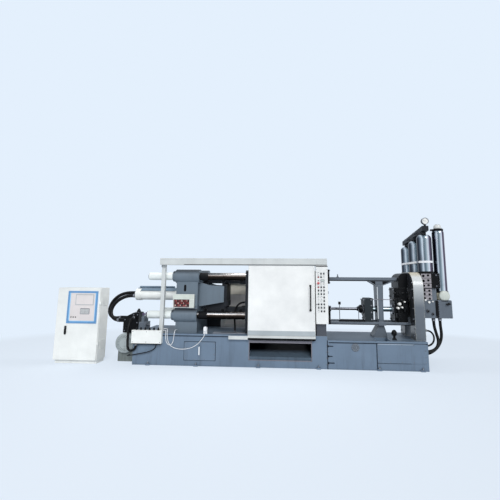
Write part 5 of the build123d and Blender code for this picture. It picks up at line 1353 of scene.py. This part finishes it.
def makeShotTrim(s):
    mesh = bmesh.new()
    for line, radius in s["rods"]:
        addTube(mesh, line, radius, 16)
    finishMesh("thinRods", mesh, "boltSteel")
    addBoxPiece("smallSwitches", s["switches"], "blackPlastic", 0.003)
    mesh = bmesh.new()
    addTurned(mesh, s["knobPlace"], up, s["knob"], 28)
    addTurned(mesh, s["lifterPlace"], up, s["lifter"], 6)
    finishMesh("smallFittings", mesh, "darkPaint")
    # weld beads where the beam's gussets and the pillar meet
    mesh = bmesh.new()
    for x0, z0, x1, z1 in s["welds"]:
        for y in (-s["weldY"], s["weldY"]):
            addTube(mesh, [(x0, y, z0), ((x0 + x1) / 2, y, (z0 + z1) / 2), (x1, y, z1)], s["weldRadius"], 8)
    finishMesh("frameWelds", mesh, "framePaint")
    # painted shade under the beam and on the gusset webs, and the black end plates beside the button panel
    mesh = bmesh.new()
    skin, x0, x1 = 0.0015, s["shadeLeft"], s["frameLeft"]
    addBox(mesh, (x0, s["beamFace"], s["beamLow"] - 0.0005), (x1, s["beamFace"] + skin, s["beamLow"] + 0.02))
    for outline in s["gussets"]:
        addSlab(mesh, outline, (0, s["beamFace"], 0), toRight, up, -skin)
    for y in (-0.2365, 0.235):
        addBox(mesh, (x0, y, 0.8445), (x1, y + skin, 0.858))
    for y0, y1, z0, z1 in s["endPlates"]:
        addBox(mesh, (1.1285, y0, z0), (s["endPlate"], y1, z1))
    finishMesh("frameShades", mesh, "blackGap", bevel=0.0005)
    # painted highlight: a light strip on the pillar's front-left edge
    addBoxPiece("pillarHighlight", [s["pillarHighlight"]], "paintedEdgeHighlight", 0.0005)
    addBoxPiece("railSaddle", [s["railSaddle"]], "framePaint", 0.002)
    # ring of studs of the cylinder's flange inside the end frame's tunnel
    mesh = bmesh.new()
    boltRing(mesh, (s["frameRight"], 0, s["axis"]), toRight, 0.162, 10, 0.018, 0.012, 0.2, True)
    finishMesh("tunnelStuds", mesh, "boltSteel")


makeShotTrim(shot)

# accumulators: rings, header pipes and bolts, gas valve cap, gauge dial, strap buckle
bank = {
    "x": 3.3, "ys": (-0.15, 0.4, 0.95), "base": 1.965, "headerLow": 2.885, "headerSlope": 0.15,
    "thickness": 0.105, "boltStep": 0.158, "headerBolts": 9, "boltXs": (3.25, 3.35),
    "footRing": [(0, 0.167), (0.035, 0.167), (0.04, 0.159), (0.04, 0.154)],
    "neckNut": [(0, 0.06), (0.018, 0.06), (0.02, 0.056), (0.036, 0.056)],
    "pipeYs": (0.125, 0.675), "pipeHalf": 0.05, "pipeRadius": 0.011,
    "sideX": 3.625, "sideY": -0.12, "sideFoot": 1.546, "sideHead": 2.905, "sideValve": 2.962,
    "sideFootRing": [(0, 0.136), (0.03, 0.136), (0.034, 0.125)],
    "sideClamp": [(0, 0.112), (0.01, 0.116), (0.046, 0.116), (0.056, 0.1), (0.057, 0.05)],
    "sideCap": [(0, 0.078), (0.012, 0.082), (0.045, 0.082), (0.07, 0.074), (0.09, 0.056), (0.102, 0.03),
                (0.106, 0.008)],
    "gauge": (3.32, -0.24, 3.124), "marks": 25, "markOuter": 0.06, "needleTurn": 160,
    "gaugeRim": [(0, 0.077), (0.008, 0.078), (0.012, 0.074), (0.012, 0.066), (0.003, 0.065)],
    "strapLow": 2.19, "strapHigh": 2.235, "buckleX": 3.132, "buckleYs": (-0.19, -0.11),
}


def headerUnder(b, y):
    return b["headerLow"] - b["headerSlope"] * (y + b["headerSlope"])


def makeBottles(b):
    rings = bmesh.new()
    for y in b["ys"]:
        addTurned(rings, (b["x"], y, b["base"]), up, b["footRing"], 48)
        addTurned(rings, (b["x"], y, headerUnder(b, y) - 0.052), up, b["neckNut"], 6)
    x, y = b["sideX"], b["sideY"]
    addTurned(rings, (x, y, b["sideFoot"]), up, b["sideFootRing"], 40)
    addTurned(rings, (x, y, b["sideHead"]), up, b["sideClamp"], 40)
    addBox(rings, (x - 0.155, y - 0.03, b["sideHead"] + 0.01), (x - 0.105, y + 0.03, b["sideHead"] + 0.047))
    finishMesh("bottleRings", rings, "darkPaint")
    mesh = bmesh.new()
    for y in b["pipeYs"]:
        z, y0, y1 = headerUnder(b, y) + 0.05, y - b["pipeHalf"], y + b["pipeHalf"]
        corners = [(3.23, y0, z + 0.0075), (3.17, y0, z + 0.0075), (3.17, y1, z - 0.0075), (3.23, y1, z - 0.0075)]
        addTube(mesh, bentLine(corners, 0.03), b["pipeRadius"])
    finishMesh("headerPipes", mesh, "boltSteel")
    bolts = bmesh.new()
    for k in range(b["headerBolts"]):
        y = -0.25 + k * b["boltStep"]
        places = grid(b["boltXs"], (y,), (headerUnder(b, y) + b["thickness"] - 0.002,))
        addBolts(bolts, places, (0, b["headerSlope"], 1), 0.018, 0.012, True)
    finishMesh("headerBolts", bolts, "boltSteel")
    addTurnedPiece("sideCap", (b["sideX"], b["sideY"], b["sideValve"]), up, b["sideCap"], 40, "capPale")


def makeGauge(b):
    x, y, z = b["gauge"]
    addTurnedPiece("gaugeRim", b["gauge"], front, b["gaugeRim"], 56, "boltSteel")
    addTurnedPiece("gaugeFace", b["gauge"], front, [(0, 0.065), (0.0035, 0.065)], 56, "capWhite")
    mesh = bmesh.new()
    dial = (x, y - 0.0036, z)
    matrix = aim(dial, front)
    outer = b["markOuter"]
    for k in range(b["marks"]):
        turn = math.radians(-45 + 270 * k / (b["marks"] - 1))
        long = 0.01 if k % 4 == 0 else 0.005
        addBox(mesh, (outer - long, -0.0007, 0), (outer, 0.0007, 0.0006), matrix @ Matrix.Rotation(turn, 4, "Z"))
    needle = matrix @ Matrix.Rotation(math.radians(b["needleTurn"]), 4, "Z")
    addBox(mesh, (-0.012, -0.0014, 0.001), (0.046, 0.0014, 0.002), needle)
    addTurned(mesh, dial, front, [(0, 0.006), (0.003, 0.005)], 20)
    finishMesh("gaugeMarks", mesh, "blackPlastic", smooth=False)
    mesh = bmesh.new()
    x, (y0, y1) = b["buckleX"], b["buckleYs"]
    for z in (b["strapLow"] + 0.005, b["strapHigh"] - 0.005):
        addTube(mesh, [(x, y0 - 0.01, z), (x, (y0 + y1) / 2, z), (x, y1 + 0.01, z)], 0.004, 8)
    addBox(mesh, (x - 0.006, y0, b["strapLow"] - 0.006), (x + 0.006, y1, b["strapHigh"] + 0.006))
    finishMesh("strapBuckle", mesh, "boltSteel", bevel=0.002)


makeBottles(bank)
makeGauge(bank)

# end block and manifold: caps, bolts, covers, and stacked valve plates on the end frame's near side
ends = {
    "face": -0.3, "manifoldRight": 3.75, "manifoldXs": (3.47, 3.72), "manifoldBack": 0.06,
    "blockXs": (3.17, 3.41), "blockBack": 0.18, "blockCaps": ((3.24, 1.16, 0.03), (3.34, 1.1, 0.024)),
    "fittings": ((3.68, 1.315, 0.026), (3.64, 1.305, 0.018)), "slot": ((3.535, 1.366), (3.675, 1.384)),
    "cover": [(0, 0.06), (0.02, 0.06), (0.024, 0.05), (0.03, 0.03)],
    # each group: rows of plates, their sides and faces, and the port columns with their rise
    "groups": (
        dict(rows=((1.652, 1.742), (1.75, 1.852), (1.86, 1.95)), x0=3.125, x1=3.33, face=-0.356, wall=-0.339,
             ports=(1.697, 1.8, 1.905), first=3.165, second=3.265, rise=0.012, wide=(0.026, 0.022)),
        dict(rows=((1.395, 1.475), (1.485, 1.56), (1.57, 1.632)), x0=3.15, x1=3.345, face=-0.316, wall=-0.301,
             ports=(1.432, 1.522, 1.6), first=3.185, second=3.29, rise=-0.008, wide=(0.024, 0.02)),
    ),
    "glints": ((3.2, 1.392, 0.024), (3.275, 1.345, 0.026), (3.35, 1.36, 0.016)),
    "gap": ((3.405, -0.312, 1.02), (3.462, -0.3, 1.385)), "gapTeeth": 7, "toothStep": 0.05,
    "footCover": [(0, 0.112), (0.03, 0.112), (0.042, 0.104), (0.05, 0.08), (0.054, 0.04), (0.055, 0.01)],
    "footCoverPlace": (3.625, -0.235, 1.48),
}


def makeEndBlocks(e):
    caps, bolts, face = bmesh.new(), bmesh.new(), e["face"]
    for x, z, r in e["blockCaps"]:
        addTurned(caps, (x, face, z), front, [(0, r), (0.024, r), (0.028, r * 0.93), (0.028, r * 0.62),
                                              (0.05, r * 0.58), (0.054, r * 0.5), (0.054, r * 0.2)], 36)
        boltRing(bolts, (x, face - 0.027, z), front, r * 0.8, 6, 0.01, 0.006, 0.3, True)
    for x, z, r in e["fittings"]:
        addTurned(caps, (x, face, z), front, [(0, r), (0.03, r), (0.034, r * 0.9), (0.06, r * 0.86),
                                              (0.064, r * 0.5)], 6)
    finishMesh("blockCaps", caps, "blackPlastic")
    addPlatePiece("manifoldSlots", *e["slot"], 0.008, face - 0.003, 0.003, "blackPlastic", "black_plastic")
    for xs, back, zs in ((e["manifoldXs"], e["manifoldBack"], (1.04, 1.36)),
                         (e["blockXs"], e["blockBack"], (1.04, 1.61))):
        addBolts(bolts, grid(xs, (face,), zs), front, 0.02, 0.014, True)
        addBolts(bolts, grid(xs, (back,), zs), rear, 0.02, 0.014, True)
    addBolts(bolts, grid((e["manifoldRight"],), (-0.25, 0.01), (1.08, 1.2, 1.32)), toRight, 0.022, 0.015, True)
    addBolts(bolts, grid((3.48,), (-0.24, 0.4, 1.0), (1.69, 1.92)), toRight, 0.024, 0.016, True)
    addBolts(bolts, grid((3.15, 3.44), (-0.338,), (1.69, 1.92)), front, 0.024, 0.016, True)
    boltRing(bolts, (bank["sideX"], bank["sideY"], bank["sideFoot"]), up, 0.118, 8, 0.016, 0.012, 0.2, True)
    finishMesh("blockBolts", bolts, "boltSteel")
    addTurnedPiece("bodyCovers", (e["manifoldRight"], -0.12, 1.2), toRight, e["cover"], 40, "framePaint")


def makeValvePlates(e):
    plates, ports, glints = bmesh.new(), bmesh.new(), bmesh.new()
    for g in e["groups"]:
        for z0, z1 in g["rows"]:
            addBox(plates, (g["x0"], g["face"], z0), (g["x1"], g["wall"], z1))
        r, s = g["wide"]
        for z in g["ports"]:
            addTurned(ports, (g["first"], g["face"], z), front,
                      [(0, r), (0.01, r), (0.012, r - 0.006), (0.004, r - 0.012)], 24)
            addTurned(ports, (g["second"], g["face"], z + g["rise"]), front,
                      [(0, s), (0.014, s), (0.016, s - 0.008)], 24)
    # painted highlights: white caps standing for glints on the valve block
    for x, z, r in e["glints"]:
        addTurned(glints, (x, e["face"], z), front, [(0, r), (0.02, r), (0.026, r * 0.8), (0.03, r * 0.4)], 24)
    finishMesh("valvePlates", plates, "blockGrey", bevel=0.003)
    finishMesh("valvePorts", ports, "blackGap")
    finishMesh("valveGlints", glints, "capWhite")
    # black toothed strip between the end block and the manifold
    teeth = [((3.455, -0.308, 1.04 + k * e["toothStep"]), (3.476, e["face"], 1.062 + k * e["toothStep"]))
             for k in range(e["gapTeeth"])]
    addBoxPiece("blockGap", [e["gap"]] + teeth, "blackGap", 0.002)
    # round pale cover in front of the side accumulator's foot
    addTurnedPiece("footCover", e["footCoverPlace"], front, e["footCover"], 48, "lidGreen")


makeEndBlocks(ends)
makeValvePlates(ends)

# clamp valve block: purple coils, clamps and cover bolts
clampValves = {
    "x": -2.965, "ys": (-0.37, -0.21), "top": 0.995, "clampHalf": 0.025, "clampLow": 0.9, "clampHigh": 0.94,
    "coil": [(0, 0.03), (0.03, 0.03), (0.034, 0.024), (0.05, 0.022), (0.052, 0.01)],
    "boltXs": (-3.02, -2.91), "boltZs": (0.69, 0.81), "front": -0.42, "back": -0.16,
    "unionPlace": (-2.89, -0.29, 0.78),
}


def makeClampValves(v):
    mesh = bmesh.new()
    half = v["clampHalf"]
    for y in v["ys"]:
        addTurned(mesh, (v["x"], y, v["top"]), up, v["coil"], 24)
        addBox(mesh, (v["x"] - half, y - half, v["clampLow"]), (v["x"] + half, y + half, v["clampHigh"]))
    finishMesh("valveCaps", mesh, "coilPurple", bevel=0.003)
    bolts = bmesh.new()
    addBolts(bolts, grid(v["boltXs"], (v["front"],), v["boltZs"]), front, 0.018, 0.012, True)
    addBolts(bolts, grid(v["boltXs"], (v["back"],), v["boltZs"]), rear, 0.018, 0.012, True)
    addTurned(bolts, v["unionPlace"], toRight, v["coil"][:-1], 6)
    finishMesh("valveBlockBolts", bolts, "boltSteel")


makeClampValves(clampValves)
print("pump, shot end and accumulators dressed")

# cabinet: what its door carries, louvres and seams, and the fitted plate inside
cabinet = {
    "left": -4.775, "right": -3.815, "front": -0.66, "back": -0.33, "doorFace": -0.689,
    "screen": (-4.535, -3.865, 0.84, 1.525), "border": 0.04, "paneDrop": 0.008,
    "bezel": ((-4.36, 1.225), (-3.95, 1.455)), "glass": ((-4.345, 1.24), (-3.965, 1.44)),
    "keypad": (-4.135, 1.095), "keypadHalf": (0.105, 0.062), "keyRows": 4, "keyColumns": 8, "keySize": 0.018,
    "knobs": 3, "knobStep": 0.05, "knob": [(0, 0.013), (0.004, 0.013), (0.006, 0.01), (0.01, 0.009), (0.0105, 0.004)],
    "latch": (-4.54, 0.695), "latchHalf": (0.011, 0.066), "latchReach": 0.034,
    "lock": [(0, 0.009), (0.003, 0.009), (0.004, 0.007), (0.004, 0.002)],
    "louvreRows": (0.3, 1.22), "louvres": 9, "louvreStep": 0.022,
    "louvre": [(0, 0), (0.008, -0.004), (0.008, -0.006), (0, -0.012)],
    # rows on the mounting plate: height, how many units, their width, dark or pale
    "plateReach": 0.0305, "plateLow": 0.16, "plateHigh": 1.5, "unitHalf": 0.045,
    "units": ((1.34, 16, 0.036, False), (1.08, 9, 0.062, True), (0.82, 9, 0.062, False), (0.56, 26, 0.022, False),
              (0.3, 6, 0.1, True)),
}


def makeCabinetDoor(c):
    x0, x1, z0, z1 = c["screen"]
    x0, x1, z0, z1 = x0 + c["border"], x1 - c["border"], z0 + c["border"], z1 - c["border"]
    pane = c["doorFace"] - c["paneDrop"]
    addPlatePiece("screenPane", (x0, z0), (x1, z1), 0.004, pane - 0.002, 0.002, "screenPane", "screen_blue",
                  body="cabinet_door")
    addPlatePiece("displayBezel", *c["bezel"], 0.006, pane - 0.0055, 0.0035, "plateGrey", "screen_blue",
                  body="cabinet_door", bevel=0.001)
    addPlatePiece("displayGlass", *c["glass"], 0.003, pane - 0.0062, 0.0006, "screenPane", "screen_blue",
                  body="cabinet_door")
    mesh = bmesh.new()
    x, z = c["keypad"]
    across, high = c["keypadHalf"]
    addPlate(mesh, (x - across, z - high), (x + across, z + high), 0.006, pane - 0.0045, 0.0025)
    finishMesh("keypadPlate", mesh, "keyGrey", body="cabinet_door", bevel=0.0008)
    # light blue inner edge of the screen's frame
    lining = [((a, pane - 0.0035, low), (b, pane - 0.0015, high))
              for a, b, low, high in ((x0, x0 + 0.02, z0, z1), (x1 - 0.014, x1, z0, z1),
                                      (x0, x1, z0, z0 + 0.014))]
    addBoxPiece("screenLining", lining, "blueLight", 0.0, body="cabinet_door")
    mesh = bmesh.new()
    size = c["keySize"]
    for row in range(c["keyRows"]):
        for column in range(c["keyColumns"]):
            kx, kz = x - 0.092 + column * 0.0235, z - 0.048 + row * 0.0245
            addPlate(mesh, (kx, kz), (kx + size, kz + size), 0.003, pane - 0.0075, 0.003)
    finishMesh("keypadKeys", mesh, "capPale", body="cabinet_door", bevel=0.0006)
    mesh = bmesh.new()
    for k in range(c["knobs"]):
        addTurned(mesh, (x0 + 0.06 + k * c["knobStep"], pane - 0.002, z0 + 0.09), front, c["knob"], 28)
    finishMesh("cabinetKnobs", mesh, "blackPlastic", body="cabinet_door")
    mesh = bmesh.new()
    x, z = c["latch"]
    across, high = c["latchHalf"]
    face = c["doorFace"] - c["latchReach"]
    addPlate(mesh, (x - across, z - high), (x + across, z + high), 0.01, face, 0.01)
    finishMesh("latchLever", mesh, "darkPaint", body="cabinet_door", bevel=0.003)
    addTurnedPiece("latchLock", (x, face, z + 0.045), front, c["lock"], 24, "boltSteel",
                   body="cabinet_door")


def makeCabinetCase(c):
    mesh = bmesh.new()
    for side, x in ((-1, c["left"]), (1, c["right"])):
        for low in c["louvreRows"]:
            for k in range(c["louvres"]):
                place = (x, -0.585, low + k * c["louvreStep"])
                addSlab(mesh, c["louvre"], place, (side, 0, 0), up, side * -0.18)
    finishMesh("cabinetLouvres", mesh, "cabinetPaint")
    seams = [((c["left"] - 0.001, c["front"] - 0.001, 0.07), (c["right"] + 0.001, c["front"] + 0.012, 0.076))]
    seams += [((c["left"] + 0.04, c["back"], z - 0.02), (c["right"] - 0.04, c["back"] + 0.003, z + 0.02))
              for z in (1.5, 0.13)]
    addBoxPiece("cabinetSeams", seams, "cabinetPaint", 0.001)
    # mounting plate with rails, breakers and contactors, seen with the door open
    plate = c["back"] - c["plateReach"]
    sheet = ((c["left"] + 0.06, plate - 0.0115, c["plateLow"]), (c["right"] - 0.06, plate, c["plateHigh"]))
    addBoxPiece("mountingPlate", [sheet], "plateGrey", 0.002)
    rails, pale, dark = bmesh.new(), bmesh.new(), bmesh.new()
    x0, x1, half = c["left"] + 0.09, c["right"] - 0.09, c["unitHalf"]
    for z, count, width, isDark in c["units"]:
        addBox(rails, (x0, plate - 0.0195, z - 0.0175), (x1, plate - 0.0125, z + 0.0175))
        body, lever = (dark, pale) if isDark else (pale, dark)
        for k in range(count):
            x = x0 + 0.04 + k * (width + 0.005)
            addBox(body, (x, plate - 0.082, z - half), (x + width, plate - 0.0195, z + half))
            addBox(lever, (x + width * 0.25, plate - 0.092, z - 0.018),
                   (x + width * 0.75, plate - 0.082, z + 0.018))
        addBox(pale, (x0, plate - 0.065, z + 0.095), (x1, plate - 0.0125, z + 0.135))
    finishMesh("cabinetRails", rails, "boltSteel", bevel=0.001)
    finishMesh("cabinetUnits", pale, "plateGrey", bevel=0.002)
    finishMesh("cabinetDarkUnits", dark, "blackPlastic", bevel=0.002)


makeCabinetDoor(cabinet)
makeCabinetCase(cabinet)

# rear guard: pale upper and darker lower sheets, their screws, and the plates seen under the cheeks
rearGuard = {
    "bays": ((-1.31, -0.19), (-0.09, 0.985)), "low": 0.7, "seam": 1.42, "top": 1.71, "seamGap": 0.008,
    "sheetFace": 0.6135, "sheetDepth": 0.0025, "posts": (-1.36, -0.14, 1.035), "screwLow": 0.75,
    "screwStep": 0.19,
    "screws": 6, "sill": ((-1.82, 0.548, 0.651), (-1.401, 0.578, 0.868)),
    "linkYs": (-0.2, 0.17), "linkThickness": 0.03,
    "link": [(-1.6, 1.165), (-1.16, 1.165), (-1.1, 1.21), (-1.1, 1.32), (-1.22, 1.32), (-1.6, 1.235)],
}


def makeRearGuard(g):
    for name, z0, z1, finish in (("rearUpperSheets", g["seam"] + g["seamGap"], g["top"], "rearPaint"),
                                 ("rearLowerSheets", g["low"], g["seam"] - g["seamGap"], "rearShade")):
        mesh = bmesh.new()
        for x0, x1 in g["bays"]:
            addPlate(mesh, (x0, z0), (x1, z1), 0.008, g["sheetFace"], g["sheetDepth"])
        finishMesh(name, mesh, finish, bevel=0.001)
    mesh = bmesh.new()
    rows = [g["screwLow"] + g["screwStep"] * k for k in range(g["screws"])]
    addBolts(mesh, grid(g["posts"], (0.62,), rows), rear, 0.012, 0.007, True)
    finishMesh("rearScrews", mesh, "boltSteel")
    addBoxPiece("rearSill", [g["sill"]], "castDark", 0.003)
    mesh = bmesh.new()
    for y in g["linkYs"]:
        addSlab(mesh, g["link"], (0, y, 0), toRight, up, g["linkThickness"])
    finishMesh("linkPlates", mesh, "castDark", bevel=0.003)


makeRearGuard(rearGuard)
print("cabinet and rear guard dressed")

# floor, light and sky
stage = {
    "floorSize": 120,
    "fadeFrom": 0.9,     # distance from the middle, once squeezed
    "fadeTo": 1.5,
    "squeeze": (0.16, 0.26, 0.0),     # makes the fade longer than it is deep
    "leastGlow": 0.66,
    "floorDrop": 0.002,
    "skyLight": 0.42,
    "sunFrom": (3.2, -9.0, 6.0),
    "sunStrength": 1.55,
    "sunSoftness": 24,    # degrees across
    "fillPlace": (-3.0, -11.0, 7.0),
    "fillAim": (0.2, 0.0, 1.0),
    "fillPower": 250,
    "fillSize": 5.0,
    "topPlace": (-0.9, -0.1, 4.4),
    "topAim": (-0.9, 0.6, 1.4),
    "topPower": 90,
    "topSize": 1.4,
}


def makeFloor(s):
    mesh = bmesh.new()
    half = s["floorSize"] / 2
    corners = ((-half, -half), (half, -half), (half, half), (-half, half))
    mesh.faces.new([mesh.verts.new((x, y, 0)) for x, y in corners])
    data = bpy.data.meshes.new("floor")
    mesh.to_mesh(data)
    mesh.free()
    obj = bpy.data.objects.new("floor", data)
    bpy.context.collection.objects.link(obj)
    obj.location.z = -s["floorDrop"]
    material, tree, shader = startMaterial("floorPale")
    shader.inputs["Base Color"].default_value = srgb(236, 242, 250)
    shader.inputs["Roughness"].default_value = 0.9
    shader.inputs["Specular IOR Level"].default_value = 0.1
    glow = tree.nodes.new("ShaderNodeEmission")
    glow.inputs["Color"].default_value = backdropTone
    coords = tree.nodes.new("ShaderNodeTexCoord")
    squeeze = node(tree, "ShaderNodeMapping")
    squeeze.inputs["Scale"].default_value = s["squeeze"]
    tree.links.new(coords.outputs["Object"], squeeze.inputs["Vector"])
    reach = node(tree, "ShaderNodeVectorMath", operation="LENGTH")
    tree.links.new(squeeze.outputs["Vector"], reach.inputs[0])
    fade = ramp(tree, reach.outputs["Value"], s["fadeFrom"], s["fadeTo"])
    rays = tree.nodes.new("ShaderNodeLightPath")
    seen = maths(tree, "MAXIMUM", rays.outputs["Is Camera Ray"], rays.outputs["Is Glossy Ray"])
    factor = maths(tree, "MULTIPLY", maths(tree, "MAXIMUM", fade, s["leastGlow"]), seen)
    mix = tree.nodes.new("ShaderNodeMixShader")
    tree.links.new(factor, mix.inputs[0])
    tree.links.new(shader.outputs[0], mix.inputs[1])
    tree.links.new(glow.outputs[0], mix.inputs[2])
    tree.links.new(mix.outputs[0], tree.nodes["Material Output"].inputs["Surface"])
    data.materials.append(material)


def makeSun(s):
    data = bpy.data.lights.new("sun", "SUN")
    data.energy = s["sunStrength"]
    data.angle = math.radians(s["sunSoftness"])
    obj = bpy.data.objects.new("sun", data)
    bpy.context.collection.objects.link(obj)
    obj.matrix_world = aim(s["sunFrom"], s["sunFrom"])


def makeLamp(s, name):
    data = bpy.data.lights.new(name, "AREA")
    data.energy = s[name + "Power"]
    data.shape = "DISK"
    data.size = s[name + "Size"]
    obj = bpy.data.objects.new(name, data)
    obj.visible_camera = False
    bpy.context.collection.objects.link(obj)
    obj.matrix_world = aim(s[name + "Place"], Vector(s[name + "Place"]) - Vector(s[name + "Aim"]))


def makeSky(s):
    world = bpy.data.worlds.new("sky")
    world.use_nodes = True
    bpy.context.scene.world = world
    tree = world.node_tree
    light = tree.nodes["Background"]
    light.inputs["Color"].default_value = (0.93, 0.96, 1.0, 1)
    light.inputs["Strength"].default_value = s["skyLight"]
    seen = tree.nodes.new("ShaderNodeBackground")
    seen.inputs["Color"].default_value = backdropTone
    seen.inputs["Strength"].default_value = 1.0
    rays = tree.nodes.new("ShaderNodeLightPath")
    mix = tree.nodes.new("ShaderNodeMixShader")
    straight = maths(tree, "MAXIMUM", rays.outputs["Is Camera Ray"], rays.outputs["Is Transmission Ray"])
    straight = maths(tree, "MAXIMUM", straight, rays.outputs["Is Glossy Ray"])
    tree.links.new(straight, mix.inputs[0])
    tree.links.new(light.outputs[0], mix.inputs[1])
    tree.links.new(seen.outputs[0], mix.inputs[2])
    tree.links.new(mix.outputs[0], tree.nodes["World Output"].inputs["Surface"])


makeFloor(stage)
makeSun(stage)
makeLamp(stage, "fill")
makeLamp(stage, "top")
makeSky(stage)
bpy.context.scene.view_settings.view_transform = "Standard"
print("stage lit")
